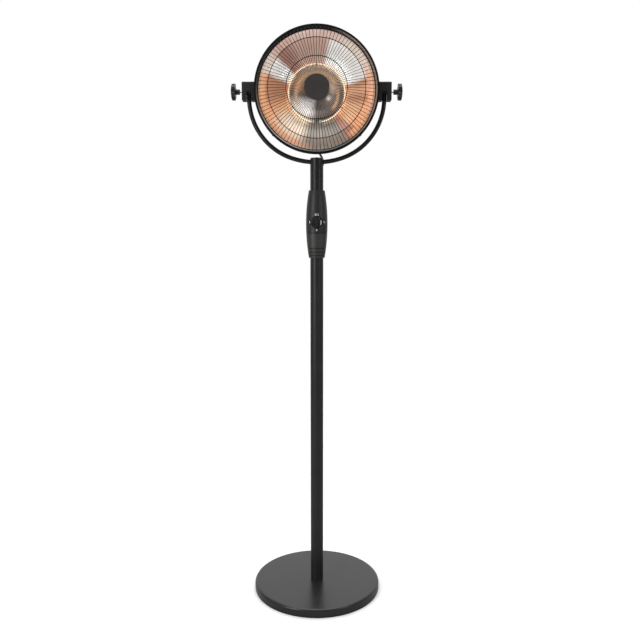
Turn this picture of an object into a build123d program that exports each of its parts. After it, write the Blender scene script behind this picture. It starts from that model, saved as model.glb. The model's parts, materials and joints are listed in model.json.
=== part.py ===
from build123d import *
import math
import os

# Infrared patio heater tower: a round tilting head in a U-shaped yoke, on a mast with a control
# housing and a weighted round base.  Millimetres, +Z up, front towards -Y.
# Origin: centre of the base's underside, on the mast's axis.

# ---------------------------------------------------------------- fits
loose_fit = 0.15          # pieces that are slid together and stay put
running_fit = 0.08        # radial play of a shaft in its hole
air_gap = 0.3             # between pieces that must not touch
screw_bite = 1.5          # how far a short screw reaches past the last sheet
tip_room = 1.0            # free depth beyond a screw's tip in a blind hole
screw_rounding = 0.45     # of a screw's head, as a share of its height
small_chamfer = 1.0       # on the corners of inner pieces
gland_rounding = 2.5      # of both cable glands' domes

# ---------------------------------------------------------------- base
base_radius = 240.0
base_shoulder = 9.0       # rounding of the cover's upper edge
base_height = 32.0
base_wall = 2.0
rubber_inset = 1.5        # how far the rubber ring stands back under the cover
rubber_height = 4.5
rubber_ring_width = 32.0
rubber_rounding = 0.8
weight_thickness = 13.0
weight_gap = 3.0          # between the weight and the cover's skirt
weight_chamfer = 1.5
foot_flange_radius = 62.0
foot_flange_thickness = 7.0
foot_plug_height = 60.0
foot_plug_wall = 4.0
foot_bolt_circle = 43.0
foot_bolt_count = 4
foot_bolt_radius = 4.0
foot_bolt_head_radius = 6.5
foot_bolt_head_height = 6.0

# ---------------------------------------------------------------- mast
mast_radius = 24.0
mast_wall = 1.8
lower_tube_reach = 67.0   # into the control housing from below
upper_tube_reach = 61.0   # into the control housing from above
sleeve_wall = 2.0
sleeve_reach = 52.0       # how far the inner sleeve goes into each tube
sleeve_screw_inset = 25.0
sleeve_window_rounding = 6.0
mast_screw_radius = 2.5
mast_screw_head_radius = 4.6
mast_screw_head_height = 2.6
gland_rise = 27.5         # mains gland on the back of the mast, above the foot's plug
gland_bore_radius = 4.4
gland_thread_radius = 8.0
gland_thread_inside = 7.0
gland_nut_radius = 11.0
gland_nut_length = 6.0
gland_dome_radius = 8.0
gland_dome_length = 12.0

# ---------------------------------------------------------------- control housing
housing_drop = 347.0      # from the pivots down to the housing's top
housing_length = 245.0
housing_split_rise = 89.0  # level seam between the lower grip and the upper shells
housing_end_margin = 5.2  # how far its ends stand out round the mast
housing_swell = 10.3      # how much wider it is at its belly
housing_belly_rise = 125.0
housing_wall = 2.5
housing_edge = 1.8        # rounding of both ends
housing_seam = 0.1        # between the front and rear shells
seam_groove_width = 1.4   # of the level seam
seam_groove_depth = 0.7
groove_rises = (9.0, 21.0, 35.0)
groove_width = 1.8
groove_depth = 0.9
housing_screw_rises = (104.0, 170.0)
housing_screw_margin = 6.5  # from the mast to the screws' middle
housing_boss_radius = 5.0
housing_screw_seat = 18.0  # of the screw's head, behind the mast's axis
housing_screw_radius = 1.6
housing_screw_head_radius = 3.2
housing_screw_head_height = 2.2
housing_screw_reach = 12.0

dial_rise = 130.0         # above the housing's bottom
bezel_radius = 21.75
bezel_wall = 1.7
bezel_sink = 0.5          # of its face behind the housing's widest point
bezel_depth = 9.7
bezel_floor = 1.5
bezel_rounding = 0.6
dial_gap = 0.4            # all round the dial in its bezel
dial_thickness = 4.0
grip_width = 8.5
grip_length = 36.0
grip_height = 6.0
grip_taper = 8.0          # lean of the grip's sides, in degrees
dial_rounding = 1.2
dial_shaft_radius = 3.0
dial_shaft_length = 14.0
shaft_hole_play = 1.0     # round the shaft in the bezel's floor
switch_width = 32.0
switch_rounding = 3.0
switch_depth = 20.0
terminal_width = 24.0
terminal_depth = 13.0
terminal_height = 18.0
terminal_drop = 20.0      # of its underside below the upper tube's end
tip_switch_width = 18.0
tip_switch_depth = 11.0
tip_switch_height = 24.0
tip_switch_rise = 7.0     # of its underside above the lower tube's end

# ---------------------------------------------------------------- yoke and mast top
pivot_height = 1870.0
yoke_room = 21.0          # from the rim to the centreline of each leg
yoke_leg_drop = 22.0      # straight part of each leg below the pivot
yoke_corner_inset = 21.5  # of the corners' centres from the mast's axis
yoke_floor_radius = 292.0
yoke_tube_radius = 8.0
yoke_tube_wall = 1.5
eye_radius = 9.5
eye_relief = 0.3          # how much flatter an eye is than the tube, on each side
cap_flange = 6.0
cap_rounding = 3.5
clamp_depth = 11.0        # of the saddle under the yoke
clamp_nut_flats = 8.0
clamp_nut_thickness = 4.0
clamp_nut_front = 15.0    # in front of the mast's axis

# ---------------------------------------------------------------- tilt pivots
block_wall = 15.5         # of a pivot block outside its slot
block_seat_inset = 5.3    # of the pad that carries the block from the shell's skirt
block_depth = 44.0
block_above = 33.0
block_below = 32.0
block_rounding = 5.0
slot_side = 1.0           # room for a washer on each side of the yoke's eye
slot_swing = 60.0         # the slot lets the yoke swing this far each way, in degrees
slot_play = 1.2
stud_radius = 3.0
insert_length = 12.0
insert_radius = 4.5
pad_height = 60.0
block_screw_radius = 2.5
block_screw_spacing = 40.0
block_screw_reach = 14.0
block_screw_head_radius = 4.5
block_screw_head_height = 3.0

knob_standoff = 8.0       # between a block and its knob's hub
knob_radius = 29.5
knob_lobes = 6
knob_lobe_radius = 8.5
knob_body_radius = 22.0
knob_thickness = 19.0
knob_dome = 3.5           # how much the outer face is crowned
knob_taper = 2.5          # how much the inner face falls away
knob_edge = 1.2
knob_hub_radius = 9.5
knob_hub_length = 13.5
stud_in_knob = 20.0
stud_in_insert = 10.0

# ---------------------------------------------------------------- head: shell and rim
rim_radius = 221.5
rim_front = 52.0          # in front of the pivot
rim_back = 29.0
rim_face_width = 11.5
rim_wall = 1.5
rim_edge = 1.2
sheet = 1.5               # steel of the shell
skirt_gap = 0.7           # between the rim and the shell's skirt
lip_front = 36.0
lip_width = 6.3
skirt_back = 24.0
dome_shoulder = 6.3       # step from the skirt in to the dome
dome_waist_forward = -20.0
dome_waist_inset = 35.3   # from the skirt
dome_end = (-70.0, 118.0)
dome_waist_square = (0.55, -0.85)  # direction square to the dome at its waist
dome_end_square = (0.6, -0.8)
shell_back = -78.0
shell_back_radius = 108.0
rim_screw_count = 4
rim_screw_radius = 1.5
rim_screw_head_radius = 3.2
rim_screw_head_height = 1.6

# ---------------------------------------------------------------- head: reflector and lamp
reflector_sheet = 1.0
reflector_mouth_inset = 11.0  # from the rim's inner edge
reflector_waist = (-9.0, 150.0)
bowl_edge = (-34.0, 90.0)
bowl_waist = (-53.0, 58.0)
bowl_floor = (-61.0, 26.0)

lamp_radius = 102.0
lamp_forward = -18.0
quartz_radius = 5.0
quartz_wall = 1.0
filament_radius = 1.6
ceramic_radius = 6.0
ceramic_spread = 14.0
ceramic_front = -10.0
ceramic_back = -50.0
clip_angles = (90.0, 210.0, 330.0)
clip_width = 4.0
clip_wall = 1.0
clip_post_radius = 1.5
shield_gap = 12.0         # in front of the shell's back
shield_thickness = 1.0
shield_radius = 112.0
standoff_radius = 4.0
standoff_circle = 84.0
standoff_count = 3

# ---------------------------------------------------------------- head: wire grille
wire_count = 96
wire_width = 1.8
dome_crown = 94.2         # front of the wires' dome on the axis
dome_ball_radius = 800.0
wire_overlap = 8.0        # of each wire over the hub plate
wire_side_inset = 2.2     # from the rim's inner edge
wire_bend_radius = 8.0
ring_width = 2.4
side_ring_width = 3.4
inner_ring_radius = 106.5
outer_ring_radius = 171.0
weld_gap = 0.05
hub_plate_radius = 42.0
hub_plate_thickness = 2.5
centre_cap_overhang = 2.0  # beyond the hub plate
centre_cap_thickness = 5.0
centre_cap_rounding = 2.0
centre_boss_radius = 20.0
centre_screw_radius = 2.5
centre_screw_head_radius = 4.6
centre_screw_head_height = 2.6
centre_screw_reach = 5.5

# ---------------------------------------------------------------- head: connection box
box_radius = 62.0
box_depth = 38.0
box_wall = 2.5
box_screw_circle = 40.0
box_screw_count = 3
box_boss_radius = 5.0
cover_thickness = 3.0
cover_rounding = 2.0
cover_screw_inset = 9.0
cover_screw_count = 4
small_screw_radius = 1.5
small_screw_head_radius = 3.0
small_screw_head_height = 1.6
small_screw_reach = 8.0
head_terminal_size = (34.0, 16.0, 20.0)
head_terminal_above = 10.0
cutout_radius = 8.0
cutout_thickness = 7.0
cutout_below = 16.0
head_gland_setback = 20.0  # behind the shell's back
head_gland_stand = 5.0    # of the gland's seat below the box
head_gland_boss_radius = 12.0
head_gland_boss_height = 12.0
head_gland_neck_radius = 6.5
head_gland_neck_past = 2.0  # how far the neck stands out of the boss inside the box
head_gland_nut_radius = 11.0
head_gland_nut_length = 5.0
head_gland_dome_radius = 8.0
head_gland_dome_length = 12.0

# ---------------------------------------------------------------- cable from the mast to the head
cable_radius = 4.0
cable_play = 0.3
bend_share = 0.45         # part of the shorter run that a bend may take on each side
boot_base_radius = 10.0
boot_tip_radius = 6.0
boot_length = 28.0
boot_neck_radius = 6.5
boot_flange_radius = 9.0
boot_flange_thickness = 2.0
cable_route = (
    (0, 92, 1878.5),
    (0, 98, 1840),
    (0, 98, 1770),
    (1, 106, 1734),
    (4, 121, 1702),
    (8, 128, 1672),
    (24, 121, 1645),
    (23, 104, 1621),
    (11, 84, 1606),
    (0, 64, 1602.4),
    (0, 6, 1602.4),
    (0, -9, 1591),
    (0, -15, 1568),
    (0, -12, 1532),
    (0, -4, 1495),
    (0, 7, 1461.5),
)

# ---------------------------------------------------------------- worked-out sizes
housing_top = pivot_height - housing_drop
housing_bottom = housing_top - housing_length
housing_split = housing_bottom + housing_split_rise
housing_belly_height = housing_bottom + housing_belly_rise
housing_end_radius = mast_radius + housing_end_margin
housing_belly_radius = housing_end_radius + housing_swell
housing_screw_spread = mast_radius + housing_screw_margin
groove_heights = [housing_bottom + rise for rise in groove_rises]
housing_screw_heights = [housing_bottom + rise for rise in housing_screw_rises]
dial_height = housing_bottom + dial_rise
bezel_front = housing_belly_radius - bezel_sink
lower_tube_top = housing_bottom + lower_tube_reach
upper_tube_bottom = housing_top - upper_tube_reach
terminal_base = upper_tube_bottom - terminal_drop
tip_switch_base = lower_tube_top + tip_switch_rise

mast_inner_radius = mast_radius - mast_wall
sleeve_radius = mast_inner_radius - loose_fit
sleeve_inner_radius = sleeve_radius - sleeve_wall
weight_top = rubber_height + weight_thickness
foot_top = weight_top + foot_flange_thickness
gland_height = foot_top + foot_plug_height + gland_rise

yoke_half_width = rim_radius + yoke_room
yoke_corner_radius = yoke_half_width - yoke_corner_inset
corner_centre = Vector(yoke_corner_inset, -yoke_leg_drop)  # from the pivots' middle
floor_rise = math.sqrt((yoke_floor_radius - yoke_corner_radius) ** 2 - corner_centre.X**2)
floor_centre = corner_centre.Y + floor_rise
yoke_bottom = pivot_height + floor_centre - yoke_floor_radius
yoke_sag = yoke_floor_radius - math.sqrt(yoke_floor_radius**2 - mast_radius**2)
upper_tube_top = yoke_bottom + yoke_sag + yoke_tube_radius + air_gap
boot_height = yoke_bottom - clamp_depth - boot_base_radius - air_gap
bezel_back = bezel_front - bezel_depth

rim_inner_radius = rim_radius - rim_face_width
rim_screw_forward = (rim_back + lip_front) / 2
skirt_radius = rim_radius - rim_wall - skirt_gap
lip_inner_radius = skirt_radius - lip_width
dome_start_radius = skirt_radius - dome_shoulder
dome_waist = (dome_waist_forward, skirt_radius - dome_waist_inset)
reflector_mouth_radius = rim_inner_radius - reflector_mouth_inset
shield_front = shell_back + shield_gap
wire_side_radius = rim_inner_radius - wire_side_inset
wire_start_radius = hub_plate_radius - wire_overlap
centre_cap_radius = hub_plate_radius + centre_cap_overhang
box_back = shell_back - box_depth
cover_screw_circle = box_radius - cover_screw_inset
head_gland_forward = shell_back - head_gland_setback
head_gland_drop = box_radius + head_gland_stand

slot_inner = yoke_half_width - yoke_tube_radius - slot_side
slot_outer = yoke_half_width + yoke_tube_radius + slot_side
block_seat = skirt_radius - block_seat_inset
block_outer = slot_outer + block_wall
hub_back = block_outer + knob_standoff
knob_back = hub_back + knob_hub_length
knob_face = knob_back + knob_thickness

foot_screw_heights = (foot_top + foot_plug_height / 3, foot_top + foot_plug_height * 2 / 3)
sleeve_screw_heights = (lower_tube_top - sleeve_screw_inset, upper_tube_bottom + sleeve_screw_inset)

head_side = Plane(origin=(0, 0, pivot_height), x_dir=(0, -1, 0), z_dir=(-1, 0, 0))
head_axis = Axis((0, 0, pivot_height), (0, -1, 0))


def head_plane(forward):
    """Plane square to the head's axis, looking out of its front."""
    return Plane(origin=(0, -forward, pivot_height), x_dir=(1, 0, 0), z_dir=(0, -1, 0))


def side_plane(x):
    """Plane square to X, its origin on the tilt axis, +Y to its right and +Z up."""
    return Plane(origin=(x, 0, pivot_height), x_dir=(0, 1, 0), z_dir=(1, 0, 0))


def head_point(forward, radius, angle):
    """Point of the head at an angle about its axis, counted from +X towards +Z."""
    turn = math.radians(angle)
    return Vector(radius * math.cos(turn), -forward, pivot_height + radius * math.sin(turn))


def spread_angles(count, first):
    return [first + 360 / count * i for i in range(count)]


def rod(start, end, radius):
    """Round rod between two points."""
    start = Vector(*start)
    end = Vector(*end)
    with BuildPart() as bar:
        with BuildSketch(Plane(origin=start, z_dir=end - start)):
            Circle(radius)
        extrude(amount=(end - start).length)
    return bar.part


def tube(bottom, top, outer, inner):
    """Upright tube on the mast's axis."""
    with BuildPart() as pipe:
        with BuildSketch(Plane.XY.offset(bottom)):
            Circle(outer)
            Circle(inner, mode=Mode.SUBTRACT)
        extrude(amount=top - bottom)
    return pipe.part


def screw(seat, direction, head_radius, head_height, shank_radius, shank_length):
    """Screw with its head's underside at seat and its shank pointing along direction."""
    seat = Vector(*seat)
    direction = Vector(*direction).normalized()
    with BuildPart() as fastener:
        with BuildSketch(Plane(origin=seat, z_dir=direction * -1)):
            Circle(head_radius)
        extrude(amount=head_height)
        top = fastener.faces().sort_by_distance(seat - direction * head_height)[0]
        fillet(top.edges(), radius=head_height * screw_rounding)
        with BuildSketch(Plane(origin=seat, z_dir=direction)):
            Circle(shank_radius)
        extrude(amount=shank_length)
    return fastener.part


def write(piece, name):
    """Label a finished piece and write it to its own file."""
    piece.part.label = name
    export_step(piece.part, f"parts/{name}.step")


os.makedirs("parts", exist_ok=True)

# ================================================================ base
foot_bolt_spots = [
    Vector(foot_bolt_circle, 0, 0).rotate(Axis.Z, angle) for angle in spread_angles(foot_bolt_count, 45)
]

with BuildPart() as base_rubber_ring:
    with BuildSketch():
        Circle(base_radius - rubber_inset)
        Circle(base_radius - rubber_inset - rubber_ring_width, mode=Mode.SUBTRACT)
    extrude(amount=rubber_height)
    fillet(base_rubber_ring.edges().group_by(Axis.Z)[0], radius=rubber_rounding)
write(base_rubber_ring, "base_rubber_ring")

with BuildPart() as base_weight:
    with BuildSketch(Plane.XY.offset(rubber_height)):
        Circle(base_radius - base_wall - weight_gap)
    extrude(amount=weight_thickness)
    chamfer(base_weight.edges().group_by(Axis.Z)[-1], length=weight_chamfer)
    with BuildSketch(Plane.XY.offset(rubber_height)):
        with Locations(*foot_bolt_spots):
            Circle(foot_bolt_radius + loose_fit)
    extrude(amount=weight_thickness, mode=Mode.SUBTRACT)
    with BuildSketch(Plane.XY.offset(rubber_height)):
        with Locations(*foot_bolt_spots):
            Circle(foot_bolt_head_radius + air_gap)
    extrude(amount=foot_bolt_head_height, mode=Mode.SUBTRACT)
write(base_weight, "base_weight")

with BuildPart() as base_cover:
    with BuildSketch(Plane.XY.offset(rubber_height)):
        Circle(base_radius)
    extrude(amount=base_height - rubber_height)
    fillet(base_cover.edges().group_by(Axis.Z)[-1], radius=base_shoulder)
    offset(amount=-base_wall, openings=base_cover.faces().sort_by(Axis.Z)[0])
    with BuildSketch(Plane.XY.offset(base_height)):
        Circle(mast_radius + loose_fit)
    extrude(amount=-2 * base_wall, mode=Mode.SUBTRACT)
write(base_cover, "base_cover")


def back_hole(height, radius):
    """Cutter for a round hole through the mast's back wall."""
    return rod((0, 0, height), (0, 2 * mast_radius, height), radius)


with BuildPart() as mast_foot:
    with BuildSketch(Plane.XY.offset(weight_top)):
        Circle(foot_flange_radius)
    extrude(amount=foot_flange_thickness)
    chamfer(mast_foot.edges().group_by(Axis.Z)[-1], length=small_chamfer)
    add(tube(foot_top, foot_top + foot_plug_height, sleeve_radius, sleeve_radius - foot_plug_wall))
    with BuildSketch(Plane.XY.offset(weight_top)):
        with Locations(*foot_bolt_spots):
            Circle(foot_bolt_radius + running_fit)
    extrude(amount=foot_flange_thickness, mode=Mode.SUBTRACT)
    for height in foot_screw_heights:
        add(back_hole(height, mast_screw_radius + running_fit), mode=Mode.SUBTRACT)
write(mast_foot, "mast_foot")

with BuildPart() as base_bolts:
    bolt_seat = rubber_height + foot_bolt_head_height
    for spot in foot_bolt_spots:
        add(
            screw(
                (spot.X, spot.Y, bolt_seat),
                (0, 0, 1),
                foot_bolt_head_radius,
                foot_bolt_head_height - air_gap,
                foot_bolt_radius,
                foot_top - bolt_seat - air_gap,
            )
        )
write(base_bolts, "base_bolts")

# ================================================================ mast
with BuildPart() as lower_tube:
    add(tube(foot_top, lower_tube_top, mast_radius, mast_inner_radius))
    add(back_hole(gland_height, gland_thread_radius + loose_fit), mode=Mode.SUBTRACT)
    for height in (*foot_screw_heights, sleeve_screw_heights[0]):
        add(back_hole(height, mast_screw_radius + loose_fit), mode=Mode.SUBTRACT)
write(lower_tube, "lower_tube")

with BuildPart() as upper_tube:
    add(tube(upper_tube_bottom, upper_tube_top, mast_radius, mast_inner_radius))
    add(back_hole(sleeve_screw_heights[1], mast_screw_radius + loose_fit), mode=Mode.SUBTRACT)
    add(back_hole(yoke_bottom, mast_screw_radius + loose_fit), mode=Mode.SUBTRACT)
    add(back_hole(boot_height, boot_neck_radius + loose_fit), mode=Mode.SUBTRACT)
    with BuildSketch(Plane.YZ.offset(-2 * mast_radius)):
        with Locations((0, yoke_bottom + yoke_sag)):
            Circle(yoke_tube_radius + 2 * air_gap)
        with Locations((0, yoke_bottom + yoke_sag + yoke_tube_radius)):
            Rectangle(2 * (yoke_tube_radius + 2 * air_gap), 2 * yoke_tube_radius)
    extrude(amount=4 * mast_radius, mode=Mode.SUBTRACT)
write(upper_tube, "upper_tube")

with BuildPart() as inner_sleeve:
    add(
        tube(
            lower_tube_top - sleeve_reach,
            upper_tube_bottom + sleeve_reach,
            sleeve_radius,
            sleeve_inner_radius,
        )
    )
    with BuildSketch(Plane.XZ):
        with Locations((0, (upper_tube_bottom + lower_tube_top) / 2)):
            RectangleRounded(3 * mast_radius, upper_tube_bottom - lower_tube_top, sleeve_window_rounding)
    extrude(amount=2 * mast_radius, mode=Mode.SUBTRACT)
    for height in sleeve_screw_heights:
        add(back_hole(height, mast_screw_radius + running_fit), mode=Mode.SUBTRACT)
write(inner_sleeve, "inner_sleeve")


def mast_screw(height, inner_wall):
    """Screw through the mast's back wall into the piece inside it."""
    return screw(
        (0, mast_radius, height),
        (0, -1, 0),
        mast_screw_head_radius,
        mast_screw_head_height,
        mast_screw_radius,
        mast_wall + loose_fit + inner_wall + screw_bite,
    )


with BuildPart() as mast_screws:
    for height in foot_screw_heights:
        add(mast_screw(height, foot_plug_wall))
    for height in sleeve_screw_heights:
        add(mast_screw(height, sleeve_wall))
write(mast_screws, "mast_screws")

with BuildPart() as mains_gland:
    gland_seat = Plane(origin=(0, mast_radius, gland_height), z_dir=(0, 1, 0))
    with BuildSketch(gland_seat):
        RegularPolygon(gland_nut_radius, 6)
    extrude(amount=gland_nut_length)
    with BuildSketch(gland_seat.offset(gland_nut_length)):
        Circle(gland_dome_radius)
    extrude(amount=gland_dome_length)
    fillet(mains_gland.edges().group_by(Axis.Y)[-1], radius=gland_rounding)
    with BuildSketch(gland_seat):
        Circle(gland_thread_radius)
    extrude(amount=-(mast_wall + gland_thread_inside))
    with BuildSketch(gland_seat):
        Circle(gland_bore_radius)
    extrude(amount=2 * mast_radius, both=True, mode=Mode.SUBTRACT)
write(mains_gland, "mains_gland")


# ================================================================ control housing
def spindle_radius(height):
    """Outer radius of the housing at a height."""
    end = housing_top if height > housing_belly_height else housing_bottom
    drop = housing_belly_radius - housing_end_radius
    reach = end - housing_belly_height
    bend = (drop**2 + reach**2) / (2 * drop)
    return housing_belly_radius - bend + math.sqrt(bend**2 - (height - housing_belly_height) ** 2)


def spindle(inset):
    """Solid of the housing's outer shape, with every surface moved in by inset."""
    belly = (housing_belly_radius - inset, housing_belly_height)
    low_end = (housing_end_radius - inset, housing_bottom + inset)
    high_end = (housing_end_radius - inset, housing_top - inset)
    with BuildPart() as body:
        with BuildSketch(Plane.XZ):
            with BuildLine():
                TangentArc(belly, low_end, tangent=(0, -1))
                TangentArc(belly, high_end, tangent=(0, 1))
                Polyline(low_end, (0, low_end[1]), (0, high_end[1]), high_end)
            make_face()
        revolve(axis=Axis.Z)
        if inset == 0:
            ends = body.edges().group_by(Axis.Z)
            fillet([*ends[0], *ends[-1]], radius=housing_edge)
    return body.part


def ring_cutter(height, width, depth):
    """Cutter for a groove around the housing."""
    with BuildPart() as cutter:
        with BuildSketch(Plane.XZ):
            with Locations((spindle_radius(height) + depth, height)):
                Rectangle(4 * depth, width)
        revolve(axis=Axis.Z)
    return cutter.part


housing_solid = spindle(0)
housing_cavity = spindle(housing_wall)

with BuildPart() as housing_bosses:
    with BuildSketch(Plane.XZ):
        for height in housing_screw_heights:
            with Locations((-housing_screw_spread, height), (housing_screw_spread, height)):
                Circle(housing_boss_radius)
    extrude(amount=housing_belly_radius, both=True)
    add(spindle(housing_wall / 2), mode=Mode.INTERSECT)

with BuildPart() as housing_passage:
    with BuildSketch(Plane.XY.offset(housing_bottom - housing_wall)):
        Circle(mast_radius + loose_fit)
    extrude(amount=housing_top - housing_bottom + 2 * housing_wall)

with BuildPart() as grip_collar:
    add(housing_solid)
    add(housing_cavity, mode=Mode.SUBTRACT)
    split(bisect_by=Plane.XY.offset(housing_split), keep=Keep.BOTTOM)
    add(housing_passage.part, mode=Mode.SUBTRACT)
    for height in groove_heights:
        add(ring_cutter(height, groove_width, groove_depth), mode=Mode.SUBTRACT)
    add(ring_cutter(housing_split, seam_groove_width, seam_groove_depth), mode=Mode.SUBTRACT)
write(grip_collar, "grip_collar")

with BuildPart() as upper_housing:
    add(housing_solid)
    add(housing_cavity, mode=Mode.SUBTRACT)
    add(housing_bosses.part)
    split(bisect_by=Plane.XY.offset(housing_split), keep=Keep.TOP)
    add(housing_passage.part, mode=Mode.SUBTRACT)
    add(ring_cutter(housing_split, seam_groove_width, seam_groove_depth), mode=Mode.SUBTRACT)

housing_screw_spots = [
    (side * housing_screw_spread, height) for height in housing_screw_heights for side in (-1, 1)
]

with BuildPart() as control_housing_front:
    add(upper_housing.part)
    split(bisect_by=Plane.XZ.offset(2 * housing_seam), keep=Keep.TOP)
    with BuildSketch(Plane(origin=(0, 0, dial_height), z_dir=(0, -1, 0))):
        Circle(bezel_radius + loose_fit)
    extrude(amount=2 * housing_belly_radius, mode=Mode.SUBTRACT)
    with BuildSketch(Plane.XZ):
        with Locations(*housing_screw_spots):
            Circle(housing_screw_radius + running_fit)
    extrude(amount=housing_screw_reach, mode=Mode.SUBTRACT)
write(control_housing_front, "control_housing_front")

with BuildPart() as control_housing_rear:
    add(upper_housing.part)
    split(bisect_by=Plane.XZ.offset(housing_seam), keep=Keep.BOTTOM)
    with BuildSketch(Plane.XZ.offset(2 * housing_seam)):
        with Locations(*housing_screw_spots):
            Circle(housing_screw_radius + loose_fit)
    extrude(amount=-(housing_screw_seat + 2 * housing_seam), mode=Mode.SUBTRACT)
    with BuildSketch(Plane.XZ.offset(-housing_screw_seat)):
        with Locations(*housing_screw_spots):
            Circle(housing_screw_head_radius + air_gap)
    extrude(amount=-housing_belly_radius, mode=Mode.SUBTRACT)
write(control_housing_rear, "control_housing_rear")

with BuildPart() as housing_screws:
    for x, height in housing_screw_spots:
        add(
            screw(
                (x, housing_screw_seat, height),
                (0, -1, 0),
                housing_screw_head_radius,
                housing_screw_head_height,
                housing_screw_radius,
                housing_screw_seat + housing_screw_reach - tip_room,
            )
        )
write(housing_screws, "housing_screws")


# ---------------------------------------------------------------- switch and dial
def dial_plane(forward):
    """Plane across the dial's axis, looking out of the housing's front."""
    return Plane(origin=(0, -forward, dial_height), x_dir=(1, 0, 0), z_dir=(0, -1, 0))


dial_radius = bezel_radius - bezel_wall - dial_gap
dial_back = bezel_back + bezel_floor + dial_gap

with BuildPart() as dial_bezel:
    with BuildSketch(dial_plane(bezel_back)):
        Circle(bezel_radius)
    extrude(amount=bezel_depth)
    fillet(dial_bezel.edges().group_by(Axis.Y)[0], radius=bezel_rounding)
    with BuildSketch(dial_plane(bezel_back + bezel_floor)):
        Circle(bezel_radius - bezel_wall)
    extrude(amount=bezel_depth, mode=Mode.SUBTRACT)
    with BuildSketch(dial_plane(bezel_back)):
        Circle(dial_shaft_radius + shaft_hole_play)
    extrude(amount=bezel_floor, mode=Mode.SUBTRACT)
write(dial_bezel, "dial_bezel")

with BuildPart() as dial_knob:
    with BuildSketch(dial_plane(dial_back)):
        Circle(dial_radius)
    extrude(amount=dial_thickness)
    fillet(dial_knob.edges().group_by(Axis.Y)[0], radius=dial_rounding)
    with BuildSketch(dial_plane(dial_back + dial_thickness)):
        SlotOverall(grip_length, grip_width, rotation=90)
    extrude(amount=grip_height, taper=grip_taper)
    fillet(dial_knob.edges().group_by(Axis.Y)[0], radius=dial_rounding)
    with BuildSketch(dial_plane(dial_back)):
        Circle(dial_shaft_radius)
    extrude(amount=dial_thickness, mode=Mode.SUBTRACT)
write(dial_knob, "dial_knob")

with BuildPart() as dial_shaft:
    with BuildSketch(dial_plane(dial_back + dial_thickness)):
        Circle(dial_shaft_radius)
    extrude(amount=-(dial_thickness + dial_shaft_length))
write(dial_shaft, "dial_shaft")

with BuildPart() as rotary_switch:
    with BuildSketch(dial_plane(bezel_back)):
        RectangleRounded(switch_width, switch_width, switch_rounding)
    extrude(amount=-switch_depth)
    with BuildSketch(dial_plane(bezel_back)):
        Circle(dial_shaft_radius + running_fit)
    extrude(amount=-dial_shaft_length, mode=Mode.SUBTRACT)
write(rotary_switch, "rotary_switch")


def sleeve_block(width, depth, base, height):
    """Block inside the inner sleeve, its back corners against the sleeve's wall."""
    back = math.sqrt((sleeve_inner_radius - loose_fit) ** 2 - (width / 2) ** 2)
    with BuildPart() as block:
        with BuildSketch(Plane.XY.offset(base)):
            with Locations((0, back - depth / 2)):
                Rectangle(width, depth)
        extrude(amount=height)
        chamfer(block.edges().filter_by(Axis.Z), length=small_chamfer)
    return block


write(sleeve_block(terminal_width, terminal_depth, terminal_base, terminal_height), "terminal_block")
write(
    sleeve_block(tip_switch_width, tip_switch_depth, tip_switch_base, tip_switch_height),
    "tip_over_switch",
)

# ================================================================ yoke and mast top
with BuildPart() as yoke:
    slant = corner_centre - Vector(0, floor_centre)
    meeting = Vector(0, floor_centre) + slant.normalized() * yoke_floor_radius
    leg_top = (yoke_half_width, pivot_height)
    leg_end = (yoke_half_width, pivot_height - yoke_leg_drop)
    bend_end = (meeting.X, pivot_height + meeting.Y)
    with BuildLine(Plane.XZ) as yoke_path:
        Line((-leg_top[0], leg_top[1]), (-leg_end[0], leg_end[1]))
        TangentArc((-leg_end[0], leg_end[1]), (-bend_end[0], bend_end[1]), tangent=(0, -1))
        TangentArc((-bend_end[0], bend_end[1]), bend_end, tangent=(-slant.Y, -slant.X))
        TangentArc(bend_end, leg_end, tangent=(-slant.Y, slant.X))
        Line(leg_end, leg_top)
    with BuildSketch(Plane(origin=yoke_path.line @ 0, z_dir=yoke_path.line % 0)):
        Circle(yoke_tube_radius)
        Circle(yoke_tube_radius - yoke_tube_wall, mode=Mode.SUBTRACT)
    sweep()
    for side in (-1, 1):
        with BuildSketch(side_plane(side * yoke_half_width)):
            Circle(eye_radius)
        extrude(amount=yoke_tube_radius - eye_relief, both=True)
        with BuildSketch(side_plane(side * yoke_half_width)):
            Circle(stud_radius + running_fit)
        extrude(amount=2 * yoke_tube_radius, both=True, mode=Mode.SUBTRACT)
    with BuildSketch(Plane.XZ):
        with Locations((0, yoke_bottom)):
            Circle(mast_screw_radius + loose_fit)
    extrude(amount=2 * yoke_tube_radius, both=True, mode=Mode.SUBTRACT)
write(yoke, "yoke")

with BuildPart() as yoke_channel:
    with BuildSketch(head_side):
        with Locations((0, floor_centre - yoke_floor_radius)):
            Circle(yoke_tube_radius + loose_fit)
    revolve(axis=Axis((0, 0, pivot_height + floor_centre), (0, -1, 0)))

with BuildPart() as clamp_hollows:
    add(yoke_channel.part)
    with BuildSketch(Plane.XZ):
        with Locations((0, yoke_bottom)):
            Circle(mast_screw_radius + loose_fit)
    extrude(amount=2 * mast_radius, both=True)
    with BuildSketch(Plane.XZ.offset(clamp_nut_front - clamp_nut_thickness - loose_fit)):
        with Locations((0, yoke_bottom)):
            RegularPolygon(clamp_nut_flats / 2 + loose_fit, 6, major_radius=False)
    extrude(amount=clamp_nut_thickness + 2 * loose_fit)

with BuildPart() as yoke_saddle:
    with BuildSketch(Plane.XY.offset(yoke_bottom - clamp_depth)):
        Circle(sleeve_radius)
    extrude(amount=clamp_depth)
    add(clamp_hollows.part, mode=Mode.SUBTRACT)
write(yoke_saddle, "yoke_saddle")

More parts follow.
